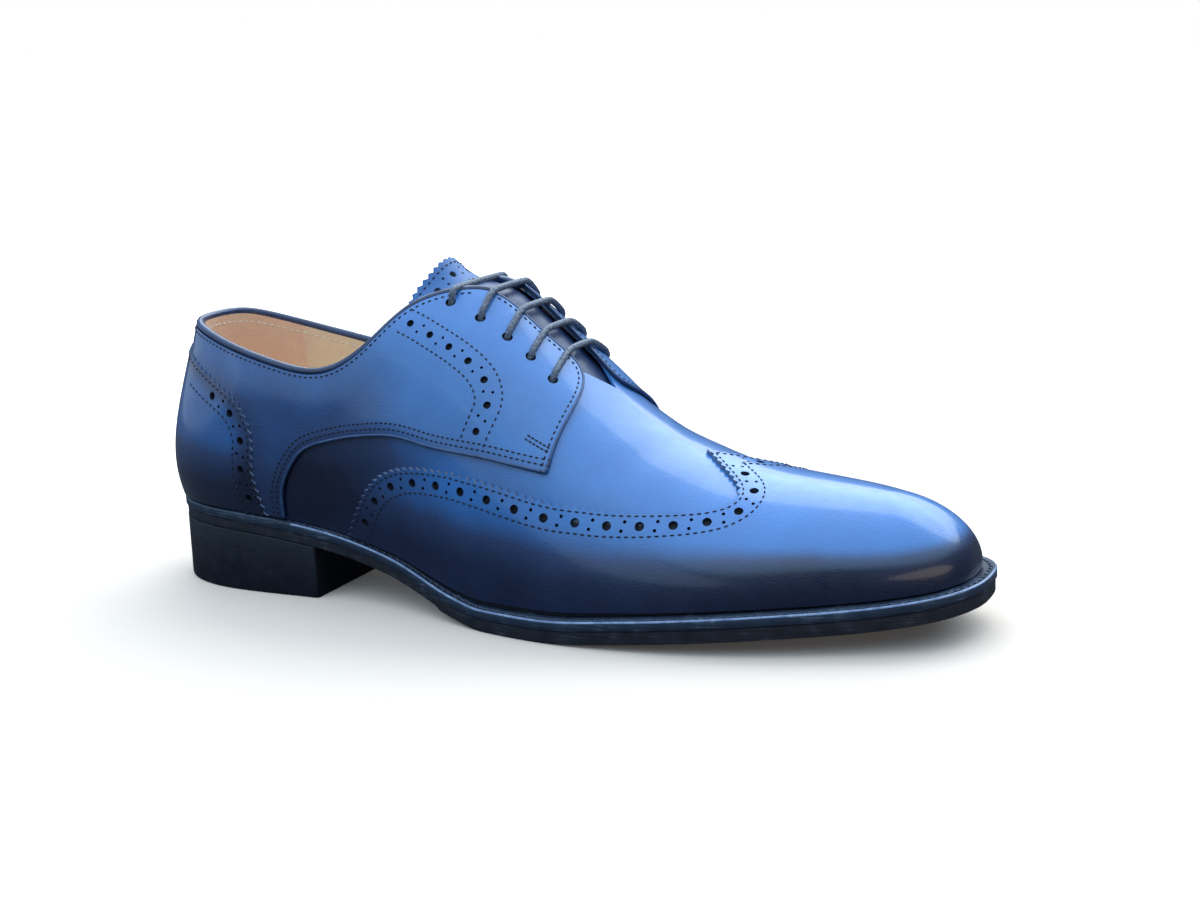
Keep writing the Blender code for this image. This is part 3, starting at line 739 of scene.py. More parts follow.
# Near-black skin under the other panels, seen through the holes: painted shade.
UNDER_PANEL_SHADE = plain("under_panel_shade", (0.004, 0.006, 0.012), (0.010, 0.014, 0.024), 300, 0.7)
PIPING = plain("piping_calf", (0.012, 0.026, 0.075), (0.024, 0.055, 0.16), 120, 0.3, {"Coat Weight": 0.4})
EDGE_BEAD = plain("folded_edge", (0.022, 0.055, 0.16), (0.05, 0.12, 0.28), 300, 0.34, {"Coat Weight": 0.3})
THREAD = plain("navy_thread", (0.006, 0.009, 0.02), (0.014, 0.02, 0.045), 900, 0.6)
CREAM_THREAD = plain("cream_thread", (0.85, 0.76, 0.62), (0.95, 0.88, 0.76), 900, 0.65)
print("finishes:", ", ".join(look.name for look in (
    CALF, TONGUE_CALF, CUT_EDGE, HOLE_WALL_SHADE, UNDER_PANEL_SHADE, PIPING, EDGE_BEAD, THREAD, CREAM_THREAD)))

# %% [markdown]
# ## The seams
# A derby has a vamp in front and two quarters that are sewn on top of it. A full brogue adds a counter at
# the heel and a toe cap with two wings. Their seams are short tables of shares along and up the last.

# %% Seams of the panels
PANEL_FOOT, PANEL_HEAD = 0.018, 0.99
COUNTER_EDGE = table(
    "along up",
    (0.210, PANEL_FOOT), (0.203, 0.18), (0.200, 0.34), (0.203, 0.48), (0.198, 0.62), (0.180, 0.725),
    (0.145, 0.79), (0.075, 0.86), (0.025, 0.89), (0.012, 0.92), (0.012, PANEL_HEAD))
QUARTER_SEAM = table(
    "along medial up",
    (0.228, 0.228, PANEL_FOOT), (0.233, 0.233, 0.235), (0.250, 0.250, 0.42), (0.275, 0.275, 0.56),
    (0.320, 0.320, 0.615), (0.365, 0.367, 0.565), (0.420, 0.425, 0.48), (0.475, 0.485, 0.45),
    (0.568, 0.585, 0.49))
FACING_EDGE = table(
    "along medial up",
    (0.568, 0.585, 0.49), (0.578, 0.596, 0.65), (0.585, 0.603, 0.82), (0.581, 0.600, 0.92),
    (0.570, 0.588, 0.965), (0.540, 0.555, 0.98), (0.475, 0.475, PANEL_HEAD))
WING_EDGE = table(
    "along up",
    (0.305, PANEL_FOOT), (0.323, 0.205), (0.352, 0.365), (0.395, 0.40), (0.480, 0.385), (0.535, 0.39),
    (0.595, 0.405), (0.662, 0.475), (0.722, 0.605), (0.733, 0.70), (0.728, 0.79), (0.692, 1))
EYELET = table("along up", (0.441, 0.945), (0.477, 0.882), (0.509, 0.865), (0.536, 0.858), (0.561, 0.832))


def pattern(corners):
    """Corner points given as shares, on the flat pattern in millimetres."""
    return np.array(corners, float) * (EDGE_LENGTH, SECTION_LENGTH)


def straight(start, end, count):
    """Flat points on a straight line between two corners that are given as shares."""
    return pattern(np.linspace(start, end, count))


def shares(flat):
    """Shares along and up of flat points."""
    return flat[:, 0] / EDGE_LENGTH, flat[:, 1] / SECTION_LENGTH


def inside(points, loop):
    """Which flat points lie inside a loop."""
    x, y = points[:, 0, None], points[:, 1, None]
    ax, ay = loop[:, 0], loop[:, 1]
    bx, by = np.roll(ax, -1), np.roll(ay, -1)
    rise = np.where(by == ay, 1e-9, by - ay)
    crosses = ((ay > y) != (by > y)) & (x < (bx - ax) * (y - ay) / rise + ax)
    return crosses.sum(axis=1) % 2 == 1


for name, seam in (("counter", COUNTER_EDGE), ("quarter", QUARTER_SEAM), ("wing", WING_EDGE)):
    edge = laid(LATERAL, seam_curve(seam, LATERAL))
    print("the", name, "seam is", run_lengths(edge)[-1].round(), "mm long")

# %% [markdown]
# ## The vamp
# The vamp is the skin that covers the whole last under the other panels, open at the collar and at the
# throat. Where another panel lies on it the skin is painted near black and matt as shade, so that the punched
# holes above look deep.

# %% Vamp
SKIN = 0.8
FOOT_STEPS, END_STEPS, RIDGE_STEPS, COLLAR_STEPS = 131, 36, 54, 60
VAMP_THROAT = [(0.590, 0.975), (0.575, 0.955), (0.540, 0.962), (0.480, 0.972), (0.470, 1)]
# The hollow behind the wing's tail and the low band by the seams get painted shade.
HOLLOW_SHADE_ALONG, HOLLOW_SHADE_UP, SEAM_SHADE_UP = (0.30, 0.46), (0.50, 0.90), (0.40, 0.50)
COVER_PITCH, COVER_INSET = 4, 3
UNDER_WING = [(0.75, 1), (1, 1), (1, 0), (0.31, 0)]
UNDER_QUARTER = [(0.47, 1), (0, 1), (0, 0), (0.2, 0)]


def skin_sheet(throat):
    """Whole flat pattern of one side, cut away along the throat."""
    foot = straight((0, 0), (1, 0), FOOT_STEPS)
    toe = straight((1, 0), (1, 1), END_STEPS)[1:-1]
    ridge = straight((1, 1), (THROAT_END, 1), RIDGE_STEPS)
    collar = straight(throat[-1], (0, 1), COLLAR_STEPS)[1:]
    back = straight((0, 1), (0, 0), END_STEPS)[1:-1]
    return cut_flat(np.vstack([foot, toe, ridge, pattern(throat), collar, back]))


def shade_vamp(side, flat):
    """Painted shade on the vamp: dark under the panels, in the hollow behind the wing's tail and near the
    seams.
    """
    along, up = shares(flat)
    hollow_shade = (1 - smoothstep(*HOLLOW_SHADE_ALONG, along)) * (1 - smoothstep(*HOLLOW_SHADE_UP, up))
    dark = 0.06 + 0.80 * hollow_shade + 0.12 * (1 - smoothstep(*SEAM_SHADE_UP, up))
    # Under the wing and the quarters the skin is painted fully dark as shade.
    wing = np.vstack([walk(side, WING_EDGE, COVER_PITCH, -COVER_INSET), pattern(UNDER_WING)])
    edges = [walk(side, seam, COVER_PITCH, COVER_INSET) for seam in (QUARTER_SEAM, FACING_EDGE)]
    quarter = np.vstack([*edges, pattern(UNDER_QUARTER)])
    return np.where(inside(flat, wing) | inside(flat, quarter), 1.0, dark)


vamp = leather("vamp_leather", [(side, skin_sheet(VAMP_THROAT)) for side in BOTH], lifted(-SKIN), SKIN,
               shade_vamp, [CALF, UNDER_PANEL_SHADE], ["upper"])
# Faces whose points all lie under other panels take the near-black painted shade.
shaded_under_panels = [point.value == 1 for point in vamp.data.attributes["tone_and_shade"].data]
for face in vamp.data.polygons:
    face.material_index = int(all(shaded_under_panels[index] for index in face.vertices))
print(sum(shaded_under_panels), "of its points lie under other panels")

# %% [markdown]
# ## The lining
# The lining is a second, thinner skin inside the vamp, a little shorter at the throat. It is sewn from two
# tans that meet at a seam, so the same stored value that burnishes and shades the calf chooses between them.

# %% Lining
LINING, LINING_GAP = 0.7, 0.06
LINING_LIFT = -SKIN - LINING - LINING_GAP
LINING_THROAT = [(0.610, 0.93), (0.600, 0.86), (0.575, 0.83), (0.480, 0.84), (0.462, 0.90), (0.452, 1)]
TANS_MEET = (0.143, 0.147)


def shade_lining(side, flat):
    """Two tans: a paler lining forward of the seam inside the quarter."""
    return smoothstep(*TANS_MEET, shares(flat)[0])


def lining_finish():
    """Soft tan lining leather, paler in front."""
    material, shader = finish("tan_lining", {"Specular IOR Level": 0.3})
    share = tone_and_shade_share(material, clouds(material, scale=130, detail=4, low=-0.25, high=0.25))
    colour = ramp(material, share, (0.0, (0.94, 0.64, 0.47)), (1.0, (0.98, 0.80, 0.55)))
    rough = clouds(material, scale=300, detail=2, low=0.55, high=0.75)
    grain = clouds(material, scale=1300, detail=3)
    return dress(material, shader, colour, rough, grain, depth=0.0002, strength=0.5)


TAN = lining_finish()
leather("lining_leather", [(side, skin_sheet(LINING_THROAT)) for side in BOTH], lifted(LINING_LIFT), LINING,
        shade_lining, [TAN])

# %% [markdown]
# ## The quarters
# The quarters carry the facings with the eyelets. A folded seam closes their lower edge, and a band of
# punched holes runs from the collar round the facing. Every hole is cut through the sheet before it is laid
# on the last, so the vamp, painted dark there as shade, shows in it.

# %% Quarters
PANEL_LIFT = 0.05
QUARTER_THICK, WING_THICK, COUNTER_THICK = 1.35, 1.3, 2.0
QUARTER_TOP = PANEL_LIFT + QUARTER_THICK
EYELET_RADIUS, EYELET_SIDES = 1.75, 18
FACING_BAND = table(
    "along up",
    (0.388, 0.985), (0.402, 0.930), (0.425, 0.850), (0.450, 0.782), (0.475, 0.733), (0.496, 0.694),
    (0.505, 0.640), (0.498, 0.560), (0.484, 0.458))
COUNTER_LAP = (2.8, 1.6)
COLLAR_FRONT, COLLAR_BACK = 0.463, 0.006


# Used to darken the stored tone along seams: partly burnish, partly painted shade.
def seam_nearness(side, flat, seam, reach):
    """Share from 1 at a seam to 0 at a reach from it, in millimetres on the flat pattern."""
    line = seam_curve(seam, side, 160)
    apart = np.linalg.norm(flat[:, None] - line[None], axis=2).min(axis=1)
    return 1 - smoothstep(0, reach, apart)


def shade_quarter(side, flat):
    """Burnish with painted light and shade: lit facing and collar bright, crease, low side and seams dark."""
    along, up = shares(flat)
    body = 0.44 - 0.34 * smoothstep(0.33, 0.43, along) + 0.2 * (1 - smoothstep(0.15, 0.45, up))
    body -= 0.14 * smoothstep(0.70, 0.95, up)
    edges = 0.06 * seam_nearness(side, flat, COUNTER_EDGE, reach=10)
    edges += 0.16 * seam_nearness(side, flat, QUARTER_SEAM, reach=5)
    return np.clip(body + edges, 0.02, 1)


def quarter_sheet(side):
    """Flat quarter with its facing, eyelets and the holes of its band."""
    hidden = seam_curve(COUNTER_EDGE, side, count=60) - COUNTER_LAP
    hidden = hidden[(hidden[:, 0] > 1.0) & (hidden[:, 1] > PANEL_FOOT * SECTION_LENGTH)]
    seam, facing = walk(side, QUARTER_SEAM, pitch=2), walk(side, FACING_EDGE, pitch=1.5)[1:]
    collar = straight((COLLAR_FRONT, PANEL_HEAD), (COLLAR_BACK, PANEL_HEAD), 70)
    foot = pattern([(hidden[0, 0] / EDGE_LENGTH, PANEL_FOOT)])
    holes = brogue_holes(side, FACING_BAND, middle=0, pitch=8.6, big=1.25, small=0.5, start=6, end=7)
    eyelets = pattern(list(zip(*EYELET.values())))
    holes += [ring(side, spot, EYELET_RADIUS, EYELET_SIDES) for spot in eyelets]
    return cut_flat(np.vstack([seam, facing, collar, hidden[::-1], foot]), holes)


for side, name in SIDE_NAME.items():
    leather("quarter_leather_" + name, [(side, quarter_sheet(side))], lifted(PANEL_LIFT), QUARTER_THICK,
            shade_quarter, [CALF, HOLE_WALL_SHADE], ["quarter_" + name])

# %% [markdown]
# ## The heel counter
# The counter is a stiff panel round the heel that narrows to a strip on the back seam. Its edge is pinked,
# cut with a row of small teeth. A band of large holes with a pair of small ones between each two follows it.

# %% Heel counter
PINK_PITCH, PINK_DEPTH = 3.0, 1.2
BAND_MIDDLE, BAND_END, BAND_PITCH = 5.2, 8.5, 10.4


def shade_counter(side, flat):
    """Dark all over, darkest near the welt and the edge: burnish with painted shade on the low side."""
    up = shares(flat)[1]
    band = seam_nearness(side, flat, COUNTER_EDGE, reach=11)
    return np.clip(0.28 + 0.66 * (1 - smoothstep(0.15, 0.5, up)) + 0.34 * band, 0, 1)


def counter_sheet(side):
    """Flat half of the counter, from its pinked edge to the back seam."""
    edge = pinked(side, COUNTER_EDGE, PINK_PITCH, PINK_DEPTH)
    back = straight((0, PANEL_HEAD), (0, PANEL_FOOT), 40)
    holes = brogue_holes(side, COUNTER_EDGE, BAND_MIDDLE, BAND_PITCH, big=1.45, small=0.6, start=7, end=44)
    return cut_flat(np.vstack([edge, back]), holes)


leather("counter_leather", [(side, counter_sheet(side)) for side in BOTH], lifted(PANEL_LIFT), COUNTER_THICK,
        shade_counter, [CALF, CUT_EDGE, HOLE_WALL_SHADE], ["heel_counter"])

# %% [markdown]
# ## The wing cap
# The toe cap has a peak on the ridge and two wings that run back along the sides. It is pinked and punched as
# the counter is. Its stored tone is dark along the welt and at the tails, partly as polish is rubbed in there
# and partly as painted shade on the low, turned-away sides.

# %% Wing cap


def shade_wing(side, flat):
    """Bright on the band and the toe, dark near the welt and at the tail: burnish with painted shade low
    down.
    """
    along, up = shares(flat)
    toe = smoothstep(0.60, 0.80, along)
    low = 1 - smoothstep(0.10 + 0.12 * toe, 0.36 + 0.06 * toe, up)
    tail = 1 - smoothstep(0.32, 0.47, along)
    dark = 0.04 + (0.84 + 0.12 * toe) * low + 0.5 * tail * (1 - low)
    return np.clip(dark + 0.06 * seam_nearness(side, flat, WING_EDGE, reach=3), 0, 1)


def wing_sheet(side):
    """Flat half of the wing cap, from its pinked edge to the ridge, the toe and the welt."""
    edge = pinked(side, WING_EDGE, PINK_PITCH, -PINK_DEPTH)
    ridge = straight((0.70, 1), (1, 1), 42)
    toe = straight((1, 0.98), (1, PANEL_FOOT), 36)
    foot = straight((0.995, PANEL_FOOT), (0.31, PANEL_FOOT), 100)
    holes = brogue_holes(side, WING_EDGE, -BAND_MIDDLE, BAND_PITCH, big=1.5, small=0.6, start=9, end=6)
    return cut_flat(np.vstack([edge, ridge, toe, foot]), holes)


leather("wing_leather", [(side, wing_sheet(side)) for side in BOTH], lifted(PANEL_LIFT), WING_THICK,
        shade_wing, [CALF, CUT_EDGE, HOLE_WALL_SHADE], ["wing_cap"])

# %% [markdown]
# ## Swept cords
# Beads, piping, lace, welt and sole all keep one section along a line. A circle is moved onto the first loop
# of points and extruded to each next one. Every point remembers its place in the loop and its row, so that
# rows can be given another finish later.

# %% Sweeping
ASKEW = (0.3, 0.2, 0.9)


def sweep(bm, loops):
    """Skin through loops of points: a circle is moved onto the first and extruded to each next one."""
    spot = bm.verts.layers.int.get("spot") or bm.verts.layers.int.new("spot")
    row = bm.verts.layers.int.get("row") or bm.verts.layers.int.new("row")
    start = bmesh.ops.create_circle(bm, segments=len(loops[0]), radius=1)["verts"]
    for i, vert in enumerate(start):
        vert[spot] = i
        vert.co = loops[0][i]
    edges = list({edge for vert in start for edge in vert.link_edges})
    first = edges
    for k, loop in enumerate(loops[1:], 1):
        made = bmesh.ops.extrude_edge_only(bm, edges=edges)["geom"]
        edges = [item for item in made if isinstance(item, bmesh.types.BMEdge)]
        for vert in {v for e in edges for v in e.verts}:
            vert.co = loop[vert[spot]]
            vert[row] = k
    return first, edges


def tube(bm, points, radius, sides):
    """Cord with closed ends along a run of points in metres. Its radius may differ all round and along."""
    ahead = unit(np.gradient(points, axis=0))
    angle = np.linspace(0, 2 * np.pi, sides, endpoint=False)[:, None]
    across = np.cross(ahead[0], ASKEW)
    loops = []
    for place, way, half in zip(points, ahead, np.broadcast_to(radius, (len(points), sides))):
        across = across - way * (across @ way)
        across /= np.linalg.norm(across)
        spoke = np.cos(angle) * across + np.sin(angle) * np.cross(way, across)
        loops.append(place + half[:, None] * spoke)
    for end in sweep(bm, loops):
        bmesh.ops.edgeloop_fill(bm, edges=end)


def finish_mesh(name, bm, sharp=None):
    """Mesh from a bmesh, facing outwards and shaded smooth below an angle."""
    bmesh.ops.recalc_face_normals(bm, faces=bm.faces[:])
    mesh = mesh_from(name, bm)
    mesh.shade_smooth()
    if sharp:
        mesh.set_sharp_from_angle(angle=np.radians(sharp))
    return mesh


cord = bmesh.new()
tube(cord, np.linspace((0, 0, 0), (0, 0, 1), 3), radius=0.1, sides=6)
print("a cord through 3 points with 6 sides has", len(cord.faces), "faces")
cord.free()

# %% [markdown]
# The quarter's edge is folded over and looks like a thin cord, and the collar is finished with a rolled
# piping. Both are round tubes that follow a seam on the last.

# %% Beads and piping
BEAD_RADIUS, BEAD_PROUD = 0.55, 0.28
PIPING_RADIUS, PIPING_RISE, PIPING_SINK = 1.45, 0.5, 0.1
PIPING_END, PIPING_STEPS = 0.478, 200
BELOW_RIM = 0.98


def make_edge_beads():
    """Thin cords on the folded edges of the quarters."""
    bm = bmesh.new()
    for side in BOTH:
        for seam in (QUARTER_SEAM, FACING_EDGE):
            run = walk(side, seam, pitch=1.0)
            middle_line = laid(side, run, QUARTER_TOP + BEAD_PROUD - BEAD_RADIUS)
            tube(bm, world(middle_line), BEAD_RADIUS * MM, sides=10)
    return add_piece("folded_edges", finish_mesh("folded_edges", bm), [EDGE_BEAD])


def make_piping():
    """Rolled piping on the rim of the collar, from one facing round the heel to the other."""
    to_heel = np.linspace(PIPING_END, 0, PIPING_STEPS)
    from_heel = np.linspace(0, PIPING_END, PIPING_STEPS)[1:]
    runs = []
    for side, along in ((LATERAL, to_heel), (MEDIAL, from_heel)):
        rim = np.column_stack([along * EDGE_LENGTH, np.full(len(along), SECTION_LENGTH)])
        rise = unit(last(side, along, 1.0) - last(side, along, BELOW_RIM))
        runs.append(laid(side, rim, -PIPING_SINK) + PIPING_RISE * rise)
    bm = bmesh.new()
    tube(bm, world(np.vstack(runs)), PIPING_RADIUS * MM, sides=14)
    mesh = finish_mesh("collar_piping", bm)
    return add_piece("collar_piping", mesh, [PIPING], ["collar_binding"])


print("edge beads:", len(make_edge_beads().data.polygons), "faces")
print("piping:", len(make_piping().data.polygons), "faces")

# %% [markdown]
# ## Stitches
# A stitch is a small sphere with few faces, stretched along its seam. All stitches of a panel are copies of
# it in one mesh, which keeps hundreds of them light.

# %% Stitch and thread
THREAD_RADIUS = 0.32


def small_stitch():
    """One stitch: a sphere of radius 1 with few faces, to be stretched and placed many times."""
    bm = bmesh.new()
    bmesh.ops.create_uvsphere(bm, u_segments=8, v_segments=4, radius=1)
    return mesh_from("stitch", bm)


STITCH = small_stitch()


def joined_copies(name, shape, matrices):
    """One mesh of many copies of a small shape, each placed by its own matrix."""
    points = np.array([(*vert.co, 1) for vert in shape.vertices])
    places = np.vstack([points @ np.array(matrix).T for matrix in matrices])[:, :3]
    starts = range(0, len(places), len(points))
    faces = [[start + i for i in face.vertices] for start in starts for face in shape.polygons]
    mesh = bpy.data.meshes.new(name)
    mesh.from_pydata(places.tolist(), [], faces)
    mesh.shade_smooth()
    return mesh


def sew(name, rows, thread):
    """Stitches along rows of (side, run of flat points, lift, stitch length), joined in one piece."""
    matrices = []
    for side, run, lift, length in rows:
        ahead, _, normal = headings(side, run)
        size = Matrix.Diagonal((length / 2 * MM, THREAD_RADIUS * MM, THREAD_RADIUS * MM, 1))
        for place, way, out in zip(world(laid(side, run, lift)), ahead, normal):
            turn = Matrix((way, np.cross(out, way), out)).transposed().to_4x4()
            matrices.append(Matrix.Translation(place) @ turn @ size)
    print(name, "has", len(matrices), "stitches")
    return add_piece(name, joined_copies(name, STITCH, matrices), [thread])


print("a stitch has", len(STITCH.polygons), "faces")

# %% [markdown]
# Two rows close the quarter's lower edge. Single rows follow the facing, the collar and both sides of the
# band of holes, and a short bar tack holds the corner of the facing.

# %% Stitches of the quarters
QUARTER_STITCH, SEAM_PITCH, ROW_PITCH, TACK_PITCH = 1.35, 2.0, 2.2, 1.5
COLLAR_ROW = table("along up", (0.030, 0.975), (0.2, 0.974), (0.36, 0.974), (0.455, 0.975))
BAR_TACK = table("along up", (0.549, 0.578), (0.568, 0.568))
quarter_rows = []
for side in BOTH:
    runs = [walk(side, QUARTER_SEAM, SEAM_PITCH, left) for left in (2.0, 3.9)]
    runs += [walk(side, FACING_EDGE, ROW_PITCH, left=1.6, end=1), walk(side, COLLAR_ROW, ROW_PITCH)]
    runs += [walk(side, FACING_BAND, ROW_PITCH, left, start=3, end=4) for left in (-4.35, 4.35)]
    runs += [walk(side, BAR_TACK, TACK_PITCH, left) for left in (-0.6, 0.8)]
    quarter_rows += [(side, run, QUARTER_TOP, QUARTER_STITCH) for run in runs]
sew("quarter_stitches", quarter_rows, THREAD)

# %% [markdown]
# The wing and the counter have one row behind their teeth and one beyond the band of holes. The counter's
# second row stops below the narrow strip on the back seam.

# %% Stitches of the wing and the counter
BAND_STITCH, STITCH_PITCH, BAND_START = 1.6, 2.4, 1.9
wing_rows = [(side, walk(side, WING_EDGE, STITCH_PITCH, -left, 1, 1), PANEL_LIFT + WING_THICK, BAND_STITCH)
             for side in BOTH for left in (BAND_START, BAND_END)]
sew("wing_stitches", wing_rows, THREAD)
COUNTER_TOP = PANEL_LIFT + COUNTER_THICK
counter_rows = [(side, walk(side, COUNTER_EDGE, STITCH_PITCH, left, 1, end), COUNTER_TOP, BAND_STITCH)
                for side in BOTH for left, end in ((BAND_START, 2), (BAND_END, 30))]
sew("counter_stitches", counter_rows, THREAD)

# %% [markdown]
# Inside, a cream thread holds the lining below the piping, and one seam joins its two halves.

# %% Lining stitches
LINING_STITCH, LINING_PITCH = 1.7, 2.6
LINING_ROW = table("along up", (0.004, 0.955), (0.2, 0.953), (0.36, 0.955), (0.46, 0.955))
LINING_SEAM = table("along up", (0.145, 0.95), (0.143, 0.55))
lining_rows = [(side, walk(side, seam, LINING_PITCH), LINING_LIFT, LINING_STITCH)
               for side in BOTH for seam in (LINING_ROW, LINING_SEAM)]
sew("lining_stitches", lining_rows, CREAM_THREAD)

# %% [markdown]
# ## The tongue
# The tongue lies under the throat and rises above the collar. Its rows are hung from the inside of the last,
# as the solid's are, and a smooth surface runs through them. That surface has its own flat pattern, so the
# same tools cut its gimped top and its holes. A dark backing and a tan lining lie under it.

# %% Tongue
TONGUE = table(
    "along tuck head reach crown",
    (0.644, 0.86, 0.95, 0, 0), (0.613, 0.86, 0.95, 0, 0), (0.583, 0.86, 0.97, 0, 0), (0.545, 0.86, 1, 0, 0.6),
    (0.500, 0.86, 1, 0, 1), (0.470, 0.87, 1, 0.5, 1), (0.440, 0.89, 1, 2, 2), (0.412, 0.92, 1, 4.5, 7),
    (0.388, 0.95, 1, 7.5, 14))
TONGUE_LEAN = np.array([0.45, 0.0, 0.89])
TONGUE_FLAT = TONGUE_WIDE, TONGUE_LONG = np.array([54.0, 96.0])
TONGUE_UNDER = -1.75
TONGUE_SIDE_KNOTS, TONGUE_TOP_KNOTS = 4, 5
OVER_THROAT = "tongue"


def arched(start, end, crown, count):
    """Points between two ends, pushed out to a crown in the middle."""
    share = np.linspace(0, 1, count + 2)[1:-1, None]
    points = start + share * (end - start)
    return points + crown * 4 * share * (1 - share) * TONGUE_LEAN


def tongue_rows():
    """Rows of points across the tongue, from the vamp to its top."""
    rows = []
    for along, tuck, head, reach, crown in zip(*TONGUE.values()):
        sides = []
        for side in BOTH:
            flat = straight((along, tuck), (along, head), TONGUE_SIDE_KNOTS)
            points = laid(side, flat, TONGUE_UNDER)
            rise = last(side, along, 1.0) - last(side, along, BELOW_RIM)
            points[-1] += reach * rise / np.linalg.norm(rise)
            sides.append(points)
        lateral, medial = sides
        top = arched(lateral[-1], medial[-1], crown, TONGUE_TOP_KNOTS)
        rows.append(np.vstack([lateral, top, medial[::-1]]))
    return np.array(rows)


TONGUE_GRID = tongue_rows()


def knot_weights(count, share):
    """Weights of evenly spaced knots in a smooth curve through them."""
    knots = np.linspace(0, 1, count)
    return np.column_stack([spline(knots, row, share) for row in np.eye(count)])


def tongue_surface(flat):
    """Places on the tongue, from points on its flat pattern."""
    rows, across = TONGUE_GRID.shape[:2]
    share = flat / TONGUE_FLAT
    weights = knot_weights(rows, share[:, 1]), knot_weights(across, share[:, 0])
    return np.einsum("nr,nc,rcx->nx", *weights, TONGUE_GRID)


SURFACE[OVER_THROAT], LIMIT[OVER_THROAT], OUTWARD[OVER_THROAT] = tongue_surface, TONGUE_FLAT, 1
TOP_TRIM, TOP_STEPS, TOP_ENDS = 0.5, 200, 35
TOP_HEIGHT = TONGUE_LONG - TOP_TRIM
TONGUE_TOP = np.linspace((TONGUE_WIDE - TOP_TRIM, TOP_HEIGHT), (TOP_TRIM, TOP_HEIGHT), TOP_STEPS)
TONGUE_BAND = TONGUE_TOP[TOP_ENDS:-TOP_ENDS]
print("the tongue is", run_lengths(tongue_surface(TONGUE_TOP))[-1].round(1), "mm across at its top")

# %% [markdown]
# The tongue itself is calf with a pinked top. The backing and the lining are plain sheets, a little shorter,
# each a step further in. Two rows of stitches run along the band of holes.

# %% Layers of the tongue
TONGUE_THICK, BACKING, LAYER_GAP, BACKING_SHORT = 1.0, 0.35, 0.05, 3
TONGUE_STITCH, TONGUE_SIDE_TRIM, TONGUE_SIDE_STEPS = 1.5, 2, 40


def tongue_sheet():
    """Flat tongue with a pinked top and a band of holes below it."""
    teeth = pinked(OVER_THROAT, TONGUE_TOP, pitch=3.0, depth=1.1)
    shoulder = TONGUE_LONG - TONGUE_SIDE_TRIM
    down = np.linspace((0, shoulder), (0, 0), TONGUE_SIDE_STEPS)
    up = np.linspace((TONGUE_WIDE, TONGUE_SIDE_TRIM), (TONGUE_WIDE, shoulder), TONGUE_SIDE_STEPS)
    holes = brogue_holes(OVER_THROAT, TONGUE_BAND, middle=5.6, pitch=9.0, big=1.3, small=0.55, start=2, end=2)
    return cut_flat(np.vstack([teeth, down, [(TONGUE_WIDE, 0)], up]), holes)


def shade_tongue(side, flat):
    """Bright at the top, with painted shade lower down under the lace."""
    return 0.20 + 0.5 * (1 - smoothstep(0.60, 0.85, flat[:, 1] / TONGUE_LONG))


def shade_backing(side, flat):
    """One shade all over: the darkest calf, or the paler of the two tans."""
    return np.ones(len(flat))


leather("tongue_leather", [(OVER_THROAT, tongue_sheet())], lifted(-TONGUE_THICK), TONGUE_THICK, shade_tongue,
        [TONGUE_CALF, CUT_EDGE], ["tongue"])
backing_top = TONGUE_LONG - BACKING_SHORT
backing_edge = np.linspace((TONGUE_WIDE, backing_top), (0, backing_top), 60)
backing = np.vstack([[(0, 0), (TONGUE_WIDE, 0)], backing_edge])
layers = (("tongue_backing", TONGUE_CALF, "tongue_calf"), ("tongue_lining", TAN, "tan_lining"))
for layer, (name, look, slot) in enumerate(layers, 1):
    lift = -TONGUE_THICK - layer * (BACKING + LAYER_GAP)
    leather(name, [(OVER_THROAT, cut_flat(backing))], lifted(lift), BACKING, shade_backing, [look])
tongue_seams = [(OVER_THROAT, walk(OVER_THROAT, TONGUE_BAND, STITCH_PITCH, left), 0, TONGUE_STITCH)
                for left in (2.4, 9.2)]
sew("tongue_stitches", tongue_seams, THREAD)

# %% [markdown]
# ## The lace
# The lace is one cord that crosses in straight bars, passes through the eyelets and runs hidden under the
# facings. It gets thinner where it is hidden. Two sets of strands wind round it in opposite directions, and
# the higher of the two raises its surface, which gives the braid.

# %% Lace
LACE_RADIUS, LACE_HIDDEN, LACE_CROWN, LACE_GAP, LACE_STEP = 1.15, 0.40, 0.3, 0.05, 0.36
HIDDEN_LIFT, HIDDEN_DROP = -1.28, -5
EYELETS = len(EYELET["up"])
BRAID_PITCH, BRAID_STRANDS, BRAID_DEPTH, BRAID_MIDDLE, BRAID_SIDES = 2.6, 4, 0.07, 0.5, 24
WAXED_LACE = plain("waxed_lace", (0.04, 0.055, 0.09), (0.22, 0.26, 0.34), 1300, 0.45, {"Coat Weight": 0.2},
                   depth=0.0003, strength=0.6, grain=1900)


def eyelet(side, number, up_shift, lift):
    """Place at an eyelet, moved up the facing and lifted off it, in millimetres."""
    flat = pattern([(EYELET["along"][number], EYELET["up"][number])])
    return laid(side, flat + (0, up_shift), lift)[0]


def lace_bar(start, number):
    """Points of one bar: out of one eyelet, over the throat and into the other."""
    clear = QUARTER_TOP + LACE_RADIUS + LACE_GAP
    edge = (PANEL_HEAD - EYELET["up"][number]) * SECTION_LENGTH
    steps = ((0, HIDDEN_LIFT), (0.1, 0.1), (1.2, clear - 0.9), (0.45 * edge, clear), (edge, clear))
    here, there = (np.vstack([eyelet(side, number, *step) for step in steps]) for side in (start, -start))
    return np.vstack([here, arched(here[-1], there[-1], LACE_CROWN, 3), there[::-1]])


def lace_route():
    """The whole lace, from a hidden end at the medial top eyelet to the lateral one."""
    points = [eyelet(MEDIAL, number, HIDDEN_DROP, HIDDEN_LIFT) for number in range(EYELETS)]
    start = MEDIAL
    for number in reversed(range(EYELETS)):
        points.extend(lace_bar(start, number))
        start = -start
    return np.array(points)


